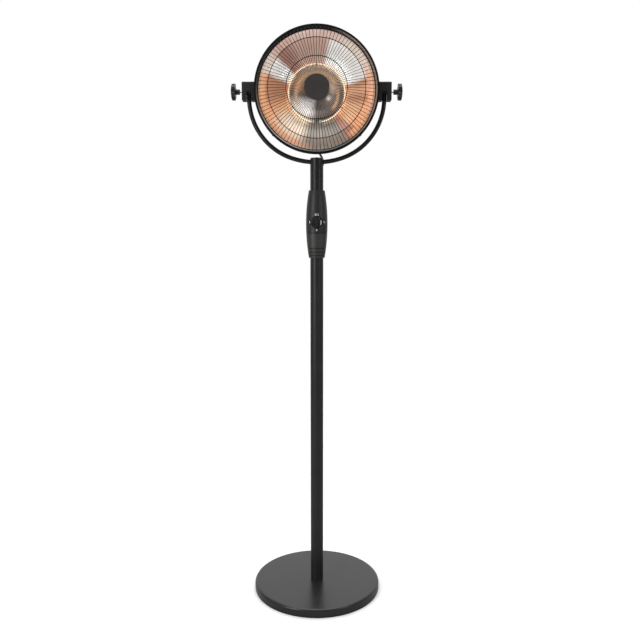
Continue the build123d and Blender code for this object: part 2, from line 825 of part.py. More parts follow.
with BuildPart() as mast_top_cap:
    with BuildSketch(Plane.XY.offset(yoke_bottom)):
        Circle(sleeve_radius)
    extrude(amount=upper_tube_top - yoke_bottom)
    with BuildSketch(Plane.XY.offset(upper_tube_top)):
        Circle(mast_radius)
    extrude(amount=cap_flange)
    fillet(mast_top_cap.edges().group_by(Axis.Z)[-1], radius=cap_rounding)
    add(clamp_hollows.part, mode=Mode.SUBTRACT)
write(mast_top_cap, "mast_top_cap")

with BuildPart() as yoke_bolt:
    add(
        screw(
            (0, mast_radius, yoke_bottom),
            (0, -1, 0),
            mast_screw_head_radius,
            mast_screw_head_height,
            mast_screw_radius,
            mast_radius + clamp_nut_front,
        )
    )
write(yoke_bolt, "yoke_bolt")

with BuildPart() as yoke_nut:
    with BuildSketch(Plane.XZ.offset(clamp_nut_front - clamp_nut_thickness)):
        with Locations((0, yoke_bottom)):
            RegularPolygon(clamp_nut_flats / 2, 6, major_radius=False)
            Circle(mast_screw_radius + running_fit, mode=Mode.SUBTRACT)
    extrude(amount=clamp_nut_thickness)
write(yoke_nut, "yoke_nut")

# ---------------------------------------------------------------- cable and its boot
with BuildPart() as cable_boot:
    boot_plane = Plane(origin=(0, 0, boot_height), z_dir=(0, 1, 0))
    with BuildSketch(boot_plane.offset(mast_radius)):
        Circle(boot_base_radius)
    with BuildSketch(boot_plane.offset(mast_radius + boot_length)):
        Circle(boot_tip_radius)
    loft()
    with BuildSketch(boot_plane.offset(mast_inner_radius - boot_flange_thickness)):
        Circle(boot_base_radius)
    extrude(amount=mast_wall + boot_flange_thickness)
    with BuildSketch(Plane.XY.offset(boot_height - 2 * boot_base_radius)):
        Circle(mast_radius + weld_gap)
    extrude(amount=4 * boot_base_radius, mode=Mode.SUBTRACT)
    flange_back = math.sqrt(mast_inner_radius**2 - boot_flange_radius**2) - loose_fit
    with BuildSketch(boot_plane.offset(flange_back - boot_flange_thickness)):
        Circle(boot_flange_radius)
    extrude(amount=boot_flange_thickness)
    with BuildSketch(boot_plane.offset(flange_back)):
        Circle(boot_neck_radius)
    extrude(amount=mast_radius + 1 - flange_back)
    with BuildSketch(boot_plane):
        Circle(cable_radius + cable_play)
    extrude(amount=2 * (mast_radius + boot_length), mode=Mode.SUBTRACT)
write(cable_boot, "cable_boot")


def corner_radii(points):
    """Widest even bend for each corner of the cable's route."""
    spots = [Vector(*point) for point in points]
    radii = []
    for before, corner, after in zip(spots, spots[1:], spots[2:]):
        arriving = corner - before
        leaving = after - corner
        half_turn = math.radians(arriving.get_angle(leaving)) / 2
        radii.append(bend_share * min(arriving.length, leaving.length) / math.tan(half_turn))
    return radii


cable_radii = corner_radii(cable_route)
print("cable corner radii:", ", ".join(f"{radius:.0f}" for radius in cable_radii))

with BuildPart() as head_cable:
    with BuildLine() as cable_path:
        FilletPolyline(*cable_route, radius=cable_radii)
    with BuildSketch(Plane(origin=cable_path.line @ 0, z_dir=cable_path.line % 0)):
        Circle(cable_radius)
    sweep()
cable_length = cable_path.wires()[0].length
cable_section = math.pi * cable_radius**2
volume_ratio = head_cable.part.volume / (cable_section * cable_length)
print(f"cable length {cable_length:.1f}, volume ratio {volume_ratio:.4f}")
write(head_cable, "head_cable")


# ================================================================ head shell and rim
def shell_solid(inset):
    """Solid of the shell's outer shape behind its lip, moved in by inset."""
    waist = tuple(spot + inset * lean for spot, lean in zip(dome_waist, dome_waist_square))
    dome_from = (skirt_back + inset, dome_start_radius - inset)
    dome_to = tuple(spot + inset * lean for spot, lean in zip(dome_end, dome_end_square))
    with BuildPart() as body:
        with BuildSketch(head_side):
            with BuildLine():
                Polyline(
                    (lip_front - inset, 0),
                    (lip_front - inset, skirt_radius - inset),
                    (skirt_back + inset, skirt_radius - inset),
                    dome_from,
                )
                ThreePointArc(dome_from, waist, dome_to)
                Polyline(
                    dome_to,
                    (shell_back + inset, shell_back_radius),
                    (shell_back + inset, 0),
                    (lip_front - inset, 0),
                )
            make_face()
        revolve(axis=head_axis)
        for side in (-1, 1):
            with BuildSketch(side_plane(side * (block_seat - inset))):
                Rectangle(block_depth - 2 * inset, pad_height - 2 * inset)
            extrude(amount=-side * shell_back_radius / 2)
    return body.part


block_screw_spots = [(0, -block_screw_spacing / 2), (0, block_screw_spacing / 2)]

with BuildPart() as head_shell:
    add(shell_solid(0))
    add(shell_solid(sheet), mode=Mode.SUBTRACT)
    with BuildSketch(head_plane(lip_front)):
        Circle(lip_inner_radius)
    extrude(amount=-2 * sheet, mode=Mode.SUBTRACT)
    for angle in spread_angles(rim_screw_count, 45):
        add(
            rod(
                head_point(rim_screw_forward, lip_inner_radius, angle),
                head_point(rim_screw_forward, rim_radius, angle),
                rim_screw_radius + loose_fit,
            ),
            mode=Mode.SUBTRACT,
        )
    for angle in spread_angles(box_screw_count, 90):
        add(
            rod(
                head_point(shell_back - sheet, box_screw_circle, angle),
                head_point(shell_back + 2 * sheet, box_screw_circle, angle),
                small_screw_radius + loose_fit,
            ),
            mode=Mode.SUBTRACT,
        )
    with BuildSketch(Plane.YZ):
        with Locations(*[(y, pivot_height + z) for y, z in block_screw_spots]):
            Circle(block_screw_radius + loose_fit)
    extrude(amount=rim_radius, both=True, mode=Mode.SUBTRACT)
write(head_shell, "head_shell")

with BuildPart() as rim_ring:
    with BuildSketch(head_side):
        with BuildLine():
            Polyline(
                (rim_back, rim_radius),
                (rim_front, rim_radius),
                (rim_front, rim_inner_radius),
                (lip_front + reflector_sheet, rim_inner_radius),
                (lip_front + reflector_sheet, rim_inner_radius + rim_wall),
                (rim_front - rim_wall, rim_inner_radius + rim_wall),
                (rim_front - rim_wall, rim_radius - rim_wall),
                (rim_back, rim_radius - rim_wall),
                close=True,
            )
        make_face()
    revolve(axis=head_axis)
    fillet(rim_ring.edges().group_by(Axis.Y)[0], radius=rim_edge)
    for angle in spread_angles(rim_screw_count, 45):
        add(
            rod(
                head_point(rim_screw_forward, skirt_radius, angle),
                head_point(rim_screw_forward, rim_radius + sheet, angle),
                rim_screw_radius + loose_fit,
            ),
            mode=Mode.SUBTRACT,
        )
write(rim_ring, "rim_ring")

with BuildPart() as rim_screws:
    for angle in spread_angles(rim_screw_count, 45):
        seat = head_point(rim_screw_forward, rim_radius, angle)
        inward = head_point(rim_screw_forward, 0, angle) - seat
        add(
            screw(
                seat,
                inward,
                rim_screw_head_radius,
                rim_screw_head_height,
                rim_screw_radius,
                rim_radius - skirt_radius + sheet + screw_bite,
            )
        )
write(rim_screws, "rim_screws")

# ================================================================ reflector, lamp and heat shield
ceramic_drop = math.sqrt(lamp_radius**2 - ceramic_spread**2)
reflector_line = lip_front + reflector_sheet / 2

with BuildPart() as reflector:
    with BuildSketch(head_side):
        with BuildLine() as reflector_profile:
            mouth = (reflector_line, reflector_mouth_radius)
            Line((reflector_line, skirt_radius), mouth)
            ThreePointArc(mouth, reflector_waist, bowl_edge)
            ThreePointArc(bowl_edge, bowl_waist, bowl_floor)
            Line(bowl_floor, (bowl_floor[0], 0))
        trace(line_width=reflector_sheet)
    revolve(axis=head_axis)
    with BuildSketch(head_plane(0)):
        with Locations((-ceramic_spread, -ceramic_drop), (ceramic_spread, -ceramic_drop)):
            Circle(ceramic_radius + air_gap)
    extrude(amount=shield_front, mode=Mode.SUBTRACT)
    for angle in clip_angles:
        add(
            rod(
                head_point(0, lamp_radius, angle),
                head_point(shield_front, lamp_radius, angle),
                clip_post_radius + air_gap,
            ),
            mode=Mode.SUBTRACT,
        )
write(reflector, "reflector")

lamp_gap = math.degrees(
    math.asin(ceramic_spread / lamp_radius)
    + 2 * math.asin((ceramic_radius + air_gap) / (2 * lamp_radius))
)


def lamp_tube(outer, inner):
    """Open ring along the lamp's circle, its gap at the bottom."""
    with BuildPart() as ring:
        with BuildLine(head_plane(lamp_forward)) as path:
            CenterArc((0, 0), lamp_radius, lamp_gap - 90, 360 - 2 * lamp_gap)
        with BuildSketch(Plane(origin=path.line @ 0, z_dir=path.line % 0)):
            Circle(outer)
            if inner > 0:
                Circle(inner, mode=Mode.SUBTRACT)
        sweep()
    return ring


write(lamp_tube(quartz_radius, quartz_radius - quartz_wall), "lamp_quartz_tube")
write(lamp_tube(filament_radius, 0), "lamp_filament")

with BuildPart() as lamp_ceramics:
    with BuildSketch(head_plane(ceramic_front)):
        with Locations((-ceramic_spread, -ceramic_drop), (ceramic_spread, -ceramic_drop)):
            Circle(ceramic_radius)
    extrude(amount=ceramic_back - ceramic_front)
    chamfer(lamp_ceramics.edges().group_by(Axis.Y)[0], length=small_chamfer)
write(lamp_ceramics, "lamp_ceramics")

with BuildPart() as lamp_clips:
    for angle in clip_angles:
        centre = head_point(lamp_forward, lamp_radius, angle)
        along = head_point(lamp_forward, lamp_radius, angle + 90) - head_point(lamp_forward, 0, 0)
        clip_bore = quartz_radius + loose_fit
        with BuildSketch(Plane(origin=centre, z_dir=along)):
            Circle(clip_bore + clip_wall)
            Circle(clip_bore, mode=Mode.SUBTRACT)
        extrude(amount=clip_width / 2, both=True)
        post_start = lamp_forward - clip_bore - clip_wall / 2
        add(
            rod(
                head_point(post_start, lamp_radius, angle),
                head_point(shield_front, lamp_radius, angle),
                clip_post_radius,
            )
        )
write(lamp_clips, "lamp_clips")

with BuildPart() as heat_shield:
    with BuildSketch(head_plane(shield_front)):
        Circle(shield_radius)
    extrude(amount=-shield_thickness)
write(heat_shield, "heat_shield")

with BuildPart() as shield_standoffs:
    for angle in spread_angles(standoff_count, 30):
        add(
            rod(
                head_point(shell_back + sheet, standoff_circle, angle),
                head_point(shield_front - shield_thickness, standoff_circle, angle),
                standoff_radius,
            )
        )
write(shield_standoffs, "shield_standoffs")


# ================================================================ wire grille
def dome_forward(radius):
    """How far the wires' centreline stands in front of the pivot at a radius."""
    return dome_crown - dome_ball_radius + math.sqrt(dome_ball_radius**2 - radius**2)


side_ring_front = lip_front + reflector_sheet + weld_gap + ring_width

with BuildPart() as one_wire:
    with BuildSketch(head_side):
        with BuildLine() as wire_path:
            middle = (wire_start_radius + wire_side_radius) / 2
            shoulder = (dome_forward(wire_side_radius), wire_side_radius)
            ThreePointArc(
                (dome_forward(wire_start_radius), wire_start_radius),
                (dome_forward(middle), middle),
                shoulder,
            )
            Line(shoulder, (side_ring_front + weld_gap, wire_side_radius))
            corner = head_side.from_local_coords(shoulder)
            fillet(wire_path.vertices().sort_by_distance(corner)[0], wire_bend_radius)
        trace(line_width=wire_width)
    extrude(amount=wire_width / 2, both=True)

with BuildPart() as grille_wires:
    add(
        [one_wire.part.rotate(head_axis, angle) for angle in spread_angles(wire_count, 0)],
        clean=False,
        mode=Mode.REPLACE,
    )
write(grille_wires, "grille_wires")


def flat_ring(inner, outer, front, thickness):
    """Flat ring about the head's axis, with its front face at front."""
    with BuildPart() as ring:
        with BuildSketch(head_plane(front)):
            Circle(outer)
            Circle(inner, mode=Mode.SUBTRACT)
        extrude(amount=-thickness)
    return ring.part


def behind_wires(radius):
    """Front face of a flat piece that lies against the wires' back out to a radius."""
    return dome_forward(radius) - wire_width / 2 - weld_gap


with BuildPart() as grille_rings:
    for radius in (inner_ring_radius, outer_ring_radius):
        outer = radius + ring_width / 2
        add(flat_ring(radius - ring_width / 2, outer, behind_wires(outer), ring_width))
    add(
        flat_ring(
            wire_side_radius - side_ring_width / 2,
            wire_side_radius + side_ring_width / 2,
            side_ring_front,
            ring_width,
        )
    )
write(grille_rings, "grille_rings")

hub_plate_front = behind_wires(hub_plate_radius)
cap_back = dome_forward(wire_start_radius) + wire_width / 2 + weld_gap

with BuildPart() as grille_hub_plate:
    add(flat_ring(centre_screw_radius + loose_fit, hub_plate_radius, hub_plate_front, hub_plate_thickness))
write(grille_hub_plate, "grille_hub_plate")

with BuildPart() as centre_cap:
    with BuildSketch(head_plane(cap_back)):
        Circle(centre_cap_radius)
    extrude(amount=centre_cap_thickness)
    fillet(centre_cap.edges().group_by(Axis.Y)[0], radius=centre_cap_rounding)
    with BuildSketch(head_plane(hub_plate_front)):
        Circle(centre_boss_radius)
    extrude(amount=cap_back - hub_plate_front)
    with BuildSketch(head_plane(hub_plate_front)):
        Circle(centre_screw_radius + running_fit)
    extrude(amount=centre_screw_reach, mode=Mode.SUBTRACT)
write(centre_cap, "centre_cap")

with BuildPart() as centre_screw:
    add(
        screw(
            head_point(hub_plate_front - hub_plate_thickness, 0, 0),
            (0, -1, 0),
            centre_screw_head_radius,
            centre_screw_head_height,
            centre_screw_radius,
            hub_plate_thickness + centre_screw_reach - air_gap,
        )
    )
write(centre_screw, "centre_screw")

# ================================================================ connection box
box_floor = shell_back - box_wall
head_gland_seat = pivot_height - head_gland_drop
head_gland_plane = Plane(origin=(0, -head_gland_forward, head_gland_seat), z_dir=(0, 0, -1))

with BuildPart() as connection_box:
    with BuildSketch(head_plane(shell_back)):
        Circle(box_radius)
    extrude(amount=box_back - shell_back)
    with BuildSketch(head_gland_plane):
        Circle(head_gland_boss_radius)
    extrude(amount=-head_gland_boss_height)
    with BuildSketch(head_plane(box_floor)):
        Circle(box_radius - box_wall)
    extrude(amount=box_back - box_floor, mode=Mode.SUBTRACT)
    with BuildSketch(head_gland_plane):
        Circle(head_gland_boss_radius)
    extrude(amount=-head_gland_boss_height)
    with BuildSketch(head_gland_plane):
        Circle(head_gland_neck_radius + loose_fit)
    extrude(amount=-2 * head_gland_boss_height, mode=Mode.SUBTRACT)
    for angle in spread_angles(cover_screw_count, 45):
        add(
            rod(
                head_point(box_floor, cover_screw_circle, angle),
                head_point(box_back, cover_screw_circle, angle),
                box_boss_radius,
            )
        )
        add(
            rod(
                head_point(box_back + small_screw_reach, cover_screw_circle, angle),
                head_point(box_back, cover_screw_circle, angle),
                small_screw_radius + running_fit,
            ),
            mode=Mode.SUBTRACT,
        )
    for angle in spread_angles(box_screw_count, 90):
        add(
            rod(
                head_point(box_floor, box_screw_circle, angle),
                head_point(shell_back, box_screw_circle, angle),
                small_screw_radius + loose_fit,
            ),
            mode=Mode.SUBTRACT,
        )
write(connection_box, "connection_box")

with BuildPart() as connection_box_cover:
    with BuildSketch(head_plane(box_back)):
        Circle(box_radius)
    extrude(amount=-cover_thickness)
    fillet(connection_box_cover.edges().group_by(Axis.Y)[-1], radius=cover_rounding)
    with BuildSketch(head_plane(box_back)):
        with PolarLocations(cover_screw_circle, cover_screw_count, start_angle=45):
            Circle(small_screw_radius + loose_fit)
    extrude(amount=-cover_thickness, mode=Mode.SUBTRACT)
write(connection_box_cover, "connection_box_cover")


def head_screws(forward, circle, angles, reach):
    """Group of small screws from behind the head, their heads seated at forward."""
    with BuildPart() as group:
        for angle in angles:
            add(
                screw(
                    head_point(forward, circle, angle),
                    (0, -1, 0),
                    small_screw_head_radius,
                    small_screw_head_height,
                    small_screw_radius,
                    reach,
                )
            )
    return group


write(
    head_screws(
        box_back - cover_thickness,
        cover_screw_circle,
        spread_angles(cover_screw_count, 45),
        cover_thickness + small_screw_reach - tip_room,
    ),
    "cover_screws",
)
write(
    head_screws(
        box_floor,
        box_screw_circle,
        spread_angles(box_screw_count, 90),
        box_wall + sheet + screw_bite,
    ),
    "box_screws",
)

with BuildPart() as head_terminal_block:
    width, height, depth = head_terminal_size
    with BuildSketch(head_plane(box_floor)):
        with Locations((0, head_terminal_above + height / 2)):
            Rectangle(width, height)
    extrude(amount=-depth)
    chamfer(head_terminal_block.edges().filter_by(Axis.Y), length=small_chamfer)
write(head_terminal_block, "head_terminal_block")

with BuildPart() as thermal_cutout:
    with BuildSketch(head_plane(box_floor)):
        with Locations((0, -cutout_below)):
            Circle(cutout_radius)
    extrude(amount=-cutout_thickness)
    fillet(thermal_cutout.edges().group_by(Axis.Y)[-1], radius=small_chamfer)
write(thermal_cutout, "thermal_cutout")

with BuildPart() as head_cable_gland:
    with BuildSketch(head_gland_plane):
        RegularPolygon(head_gland_nut_radius, 6)
    extrude(amount=head_gland_nut_length)
    with BuildSketch(head_gland_plane.offset(head_gland_nut_length)):
        Circle(head_gland_dome_radius)
    extrude(amount=head_gland_dome_length)
    fillet(head_cable_gland.edges().group_by(Axis.Z)[0], radius=gland_rounding)
    with BuildSketch(head_gland_plane):
        Circle(head_gland_neck_radius)
    extrude(amount=-(head_gland_boss_height + head_gland_neck_past))
    with BuildSketch(head_gland_plane):
        Circle(cable_radius + cable_play)
    extrude(amount=2 * head_gland_drop, both=True, mode=Mode.SUBTRACT)
write(head_cable_gland, "head_cable_gland")

# ================================================================ tilt pivots, one on each side
swing = math.radians(slot_swing)
slot_half = yoke_tube_radius + slot_play
slot_length = 2 * block_below
slot_outline = [
    (slot_half * math.cos(swing), slot_half * math.sin(swing)),
    (
        slot_half * math.cos(swing) + slot_length * math.sin(swing),
        slot_half * math.sin(swing) - slot_length * math.cos(swing),
    ),
    (slot_length * math.sin(swing), -2 * slot_length),
    (-slot_length * math.sin(swing), -2 * slot_length),
    (
        -slot_half * math.cos(swing) - slot_length * math.sin(swing),
        slot_half * math.sin(swing) - slot_length * math.cos(swing),
    ),
    (-slot_half * math.cos(swing), slot_half * math.sin(swing)),
]

with BuildPart() as right_block:
    with BuildSketch(side_plane(block_seat)):
        with Locations((0, (block_above - block_below) / 2)):
            Rectangle(block_depth, block_above + block_below)
    extrude(amount=block_outer - block_seat)
    fillet(right_block.edges().filter_by(Axis.X), radius=block_rounding)
    fillet(right_block.edges().group_by(Axis.X)[-1], radius=block_rounding / 2)
    with BuildSketch(side_plane(slot_inner)):
        Circle(eye_radius + slot_play)
        Polygon(*slot_outline, align=None)
    extrude(amount=slot_outer - slot_inner, mode=Mode.SUBTRACT)
    with BuildSketch(side_plane(slot_inner)):
        Circle(insert_radius)
    extrude(amount=-insert_length, mode=Mode.SUBTRACT)
    with BuildSketch(side_plane(slot_outer)):
        Circle(stud_radius + loose_fit)
    extrude(amount=2 * block_outer, mode=Mode.SUBTRACT)
    with BuildSketch(side_plane(block_seat)):
        with Locations(*block_screw_spots):
            Circle(block_screw_radius + running_fit)
    extrude(amount=block_screw_reach, mode=Mode.SUBTRACT)

with BuildPart() as right_insert:
    with BuildSketch(side_plane(slot_inner)):
        Circle(insert_radius - weld_gap)
        Circle(stud_radius + running_fit, mode=Mode.SUBTRACT)
    extrude(amount=-(insert_length - weld_gap))

with BuildPart() as right_washers:
    for face in (slot_inner + loose_fit, slot_outer - slot_side + loose_fit):
        with BuildSketch(side_plane(face)):
            Circle(eye_radius)
            Circle(stud_radius + loose_fit, mode=Mode.SUBTRACT)
        extrude(amount=slot_side - 2 * loose_fit)

with BuildPart() as right_block_screws:
    for y, z in block_screw_spots:
        add(
            screw(
                (block_seat - sheet, y, pivot_height + z),
                (1, 0, 0),
                block_screw_head_radius,
                block_screw_head_height,
                block_screw_radius,
                sheet + block_screw_reach - tip_room,
            )
        )

with BuildPart() as right_knob:
    with BuildSketch(side_plane(knob_back)):
        Circle(knob_body_radius)
        with PolarLocations(knob_radius - knob_lobe_radius, knob_lobes, start_angle=90):
            Circle(knob_lobe_radius)
    extrude(amount=knob_thickness)
    with BuildSketch(Plane(origin=(0, 0, pivot_height), x_dir=(1, 0, 0), z_dir=(0, -1, 0))):
        with BuildLine():
            crown_end = (knob_face - knob_dome, knob_radius - 2 * knob_edge)
            edge_front = (knob_face - knob_dome - 2 * knob_edge, knob_radius + knob_edge)
            edge_back = (knob_back + knob_taper, knob_radius + knob_edge)
            crown = TangentArc((knob_face, 0), crown_end, tangent=(0, 1))
            TangentArc(crown_end, edge_front, tangent=crown % 1)
            edge_hub = (knob_back, knob_hub_radius + knob_edge)
            Polyline(edge_front, edge_back, edge_hub, (knob_back, 0), (knob_face, 0))
        make_face()
    revolve(axis=Axis((0, 0, pivot_height), (1, 0, 0)), mode=Mode.INTERSECT)
    with BuildSketch(side_plane(hub_back)):
        Circle(knob_hub_radius)
    extrude(amount=knob_hub_length + knob_taper)
    with BuildSketch(side_plane(hub_back)):
        Circle(stud_radius + weld_gap)
    extrude(amount=stud_in_knob, mode=Mode.SUBTRACT)

with BuildPart() as right_stud:
    stud_end = slot_inner - stud_in_insert
    with BuildSketch(side_plane(stud_end)):
        Circle(stud_radius)
    extrude(amount=hub_back + stud_in_knob - stud_end - weld_gap)


def write_pair(right, name):
    """Write a right-hand piece and its mirror image on the left."""
    write(right, name + "_right")
    with BuildPart() as left:
        mirror(right.part, about=Plane.YZ)
    write(left, name + "_left")


def write_both(right, name):
    """Write the small pieces of both sides as one group."""
    with BuildPart() as group:
        add(right.part)
        mirror(right.part, about=Plane.YZ)
    write(group, name)


write_pair(right_block, "pivot_block")
write_both(right_insert, "pivot_inserts")
write_both(right_washers, "friction_washers")
write_both(right_block_screws, "block_screws")
write_pair(right_knob, "tilt_knob")
write_pair(right_stud, "tilt_stud")
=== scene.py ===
import json
import math

import bmesh
import bpy
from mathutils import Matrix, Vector


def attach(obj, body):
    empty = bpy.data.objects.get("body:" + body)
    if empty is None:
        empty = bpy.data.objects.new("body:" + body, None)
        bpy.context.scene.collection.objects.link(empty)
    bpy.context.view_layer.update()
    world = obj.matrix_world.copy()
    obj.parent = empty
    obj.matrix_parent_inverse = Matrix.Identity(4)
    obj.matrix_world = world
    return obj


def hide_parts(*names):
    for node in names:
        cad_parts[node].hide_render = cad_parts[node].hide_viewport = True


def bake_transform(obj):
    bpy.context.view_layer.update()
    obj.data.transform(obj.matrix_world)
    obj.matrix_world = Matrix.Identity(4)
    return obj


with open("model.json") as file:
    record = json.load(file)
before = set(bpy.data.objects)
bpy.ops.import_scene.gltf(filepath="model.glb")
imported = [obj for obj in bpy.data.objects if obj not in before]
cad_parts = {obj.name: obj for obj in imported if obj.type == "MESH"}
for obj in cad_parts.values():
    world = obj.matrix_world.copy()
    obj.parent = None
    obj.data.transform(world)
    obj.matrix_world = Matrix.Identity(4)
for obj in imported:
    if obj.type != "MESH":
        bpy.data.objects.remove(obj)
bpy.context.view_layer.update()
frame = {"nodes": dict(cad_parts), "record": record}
nodes = frame["nodes"]

MM = 0.001
PIVOT_Z = 1.870          # height of the head's tilt axis
DIAL_Z = 1.408           # height of the dial's axis


# ---------------------------------------------------------------- node helpers
def new_material(name):
    """Material with its node tree and its Principled shader, joined to the output."""
    material = bpy.data.materials.new(name)
    material.use_nodes = True
    tree = material.node_tree
    tree.nodes.clear()
    out = tree.nodes.new("ShaderNodeOutputMaterial")
    shader = tree.nodes.new("ShaderNodeBsdfPrincipled")
    tree.links.new(shader.outputs["BSDF"], out.inputs["Surface"])
    return material, tree, shader


def add_node(tree, kind, **settings):
    """New node with its own settings, such as operation or data_type."""
    node = tree.nodes.new(kind)
    for key, value in settings.items():
        setattr(node, key, value)
    return node


def noise(tree, scale, detail, roughness=0.55, stretch=None):
    """Output of a noise texture on object coordinates, optionally stretched."""
    coords = add_node(tree, "ShaderNodeTexCoord")
    texture = add_node(tree, "ShaderNodeTexNoise")
    texture.inputs["Scale"].default_value = scale
    texture.inputs["Detail"].default_value = detail
    texture.inputs["Roughness"].default_value = roughness
    if stretch:
        mapping = add_node(tree, "ShaderNodeMapping")
        mapping.inputs["Scale"].default_value = stretch
        tree.links.new(coords.outputs["Object"], mapping.inputs["Vector"])
        tree.links.new(mapping.outputs["Vector"], texture.inputs["Vector"])
    else:
        tree.links.new(coords.outputs["Object"], texture.inputs["Vector"])
    return texture.outputs["Fac"]


def line_noise(tree, source, scale, detail):
    """Output of a noise along one value, such as a radius or an angle."""
    texture = add_node(tree, "ShaderNodeTexNoise", noise_dimensions="1D")
    tree.links.new(source, texture.inputs["W"])
    texture.inputs["Scale"].default_value = scale
    texture.inputs["Detail"].default_value = detail
    return texture.outputs["Fac"]


def ramp(tree, source, stops):
    """Output of a colour ramp; stops are (position, grey or colour)."""
    node = add_node(tree, "ShaderNodeValToRGB")
    elements = node.color_ramp.elements
    while len(elements) > 1:
        elements.remove(elements[-1])
    for index, (position, value) in enumerate(stops):
        colour = (value, value, value, 1) if isinstance(value, (int, float)) else (*value, 1)
        element = elements[0] if index == 0 else elements.new(position)
        element.position = position
        element.color = colour
    tree.links.new(source, node.inputs["Fac"])
    return node.outputs["Color"]


def spread(tree, source, low, high, start=0.3, end=0.7):
    """Grey or colour that runs from low to high over a noise."""
    return ramp(tree, source, [(start, low), (end, high)])


def bump(tree, shader, source, strength, depth):
    """Fine relief on the shader's normal."""
    node = add_node(tree, "ShaderNodeBump")
    node.inputs["Strength"].default_value = strength
    node.inputs["Distance"].default_value = depth
    tree.links.new(source, node.inputs["Height"])
    tree.links.new(node.outputs["Normal"], shader.inputs["Normal"])


def calculate(tree, operation, first, second=0.0):
    """Math node on one or two values, each an output or a number."""
    node = add_node(tree, "ShaderNodeMath", operation=operation)
    for socket, value in zip(node.inputs, (first, second)):
        if isinstance(value, (int, float)):
            socket.default_value = value
        else:
            tree.links.new(value, socket)
    return node.outputs[0]


def mix_colours(tree, share, low, high, blend="MIX"):
    """Low where share is 0, high where it is 1; each an output, a number or a colour."""
    node = add_node(tree, "ShaderNodeMix", data_type="RGBA", blend_type=blend)
    for socket, value in zip((node.inputs[0], node.inputs[6], node.inputs[7]), (share, low, high)):
        if isinstance(value, (int, float)):
            socket.default_value = value
        elif isinstance(value, tuple):
            socket.default_value = (*value, 1)
        else:
            tree.links.new(value, socket)
    return node.outputs[2]


def step(tree, value, low, high):
    """0 below low, 1 above high, smooth between."""
    node = add_node(tree, "ShaderNodeMapRange", interpolation_type="SMOOTHSTEP")
    tree.links.new(value, node.inputs["Value"])
    node.inputs["From Min"].default_value = low
    node.inputs["From Max"].default_value = high
    return node.outputs["Result"]


def object_axes(tree):
    """The three object coordinates."""
    coords = add_node(tree, "ShaderNodeTexCoord")
    split = add_node(tree, "ShaderNodeSeparateXYZ")
    tree.links.new(coords.outputs["Object"], split.inputs["Vector"])
    return split.outputs


def distance(tree, first, second):
    """Length of a vector in a plane."""
    squares = [calculate(tree, "POWER", value, 2.0) for value in (first, second)]
    return calculate(tree, "POWER", calculate(tree, "ADD", *squares), 0.5)


def wrap(tree, turns):
    """Share of a turn from 0 to 1, for turns from -1 up."""
    return calculate(tree, "FRACT", calculate(tree, "ADD", turns, 1.0))


def head_polar(tree):
    """Place across and above the head's axis, radius about it, and share of a turn.

    The share is 0 at the top and rises clockwise as seen from the front.
    """
    axes = object_axes(tree)
    across = axes["X"]
    up = calculate(tree, "SUBTRACT", axes["Z"], PIVOT_Z)
    turn = calculate(tree, "DIVIDE", calculate(tree, "ARCTAN2", across, up), 2 * math.pi)
    return across, up, distance(tree, across, up), wrap(tree, turn)


def spot(tree, across, up, place, size):
    """1 in the middle of a round patch at (x, height above the pivots), 0 outside its size."""
    side = calculate(tree, "SUBTRACT", across, place[0])
    rise = calculate(tree, "SUBTRACT", up, place[1])
    return calculate(tree, "SUBTRACT", 1.0, step(tree, distance(tree, side, rise), 0.0, size))


def band(tree, value, middle, width):
    """1 where value equals middle, fading out to 0 at width on both sides."""
    away = calculate(tree, "ABSOLUTE", calculate(tree, "SUBTRACT", value, middle))
    return calculate(tree, "SUBTRACT", 1.0, step(tree, away, 0.0, width))


# ---------------------------------------------------------------- painted and moulded pieces
SHEEN_SCALE = 3.1        # how much finer the sheen's noise is than the tone's
GRAIN_STRENGTH = 0.5


def coat(name, dark, light, rough_low, rough_high, grain, grain_depth,
         patch=14, metallic=0.0, specular=0.5):
    """Painted or moulded surface: patchy tone, uneven sheen and a fine grain."""
    material, tree, shader = new_material(name)
    tone = spread(tree, noise(tree, patch, 5), dark, light)
    tree.links.new(tone, shader.inputs["Base Color"])
    sheen = noise(tree, patch * SHEEN_SCALE, 6, 0.65)
    rough = spread(tree, sheen, rough_low, rough_high, end=0.72)
    tree.links.new(rough, shader.inputs["Roughness"])
    bump(tree, shader, noise(tree, grain, 3), GRAIN_STRENGTH, grain_depth)
    shader.inputs["Metallic"].default_value = metallic
    shader.inputs["Specular IOR Level"].default_value = specular
    return material


black_paint = coat("black_paint", 0.010, 0.015, 0.34, 0.42, 1300, 0.00001, specular=0.3)
# painted light: a lighter copy of black_paint for the lower tube, standing in for the light that
# falls on it
lit_mast_paint = coat("lit_mast_paint", 0.016, 0.022, 0.34, 0.42, 1300, 0.00001, specular=0.3)
base_paint = coat(
    "base_paint", (0.011, 0.0105, 0.011), (0.015, 0.0142, 0.0148), 0.27, 0.33, 1300, 0.00003)
wire_paint = coat(
    "wire_paint", (0.012, 0.0095, 0.008), (0.020, 0.016, 0.014), 0.40, 0.55, 700, 0.00002,
    specular=0.15)
cap_paint = coat(
    "cap_paint", (0.028, 0.024, 0.022), (0.036, 0.031, 0.029), 0.42, 0.55, 900, 0.00003)
bezel_plastic = coat("bezel_plastic", 0.003, 0.005, 0.45, 0.55, 1500, 0.00003, specular=0.2)
knob_plastic = coat("knob_plastic", 0.010, 0.016, 0.32, 0.44, 1500, 0.00004)
block_paint = coat("block_paint", 0.011, 0.017, 0.40, 0.50, 1100, 0.00005, specular=0.35)
screw_black = coat(
    "screw_black", 0.020, 0.035, 0.25, 0.40, 1500, 0.00002, patch=60, metallic=0.6)
rubber = coat("rubber", 0.008, 0.014, 0.62, 0.78, 1000, 0.00005, patch=20)
cable_rubber = coat("cable_rubber", 0.009, 0.015, 0.45, 0.58, 1200, 0.00003, patch=30)
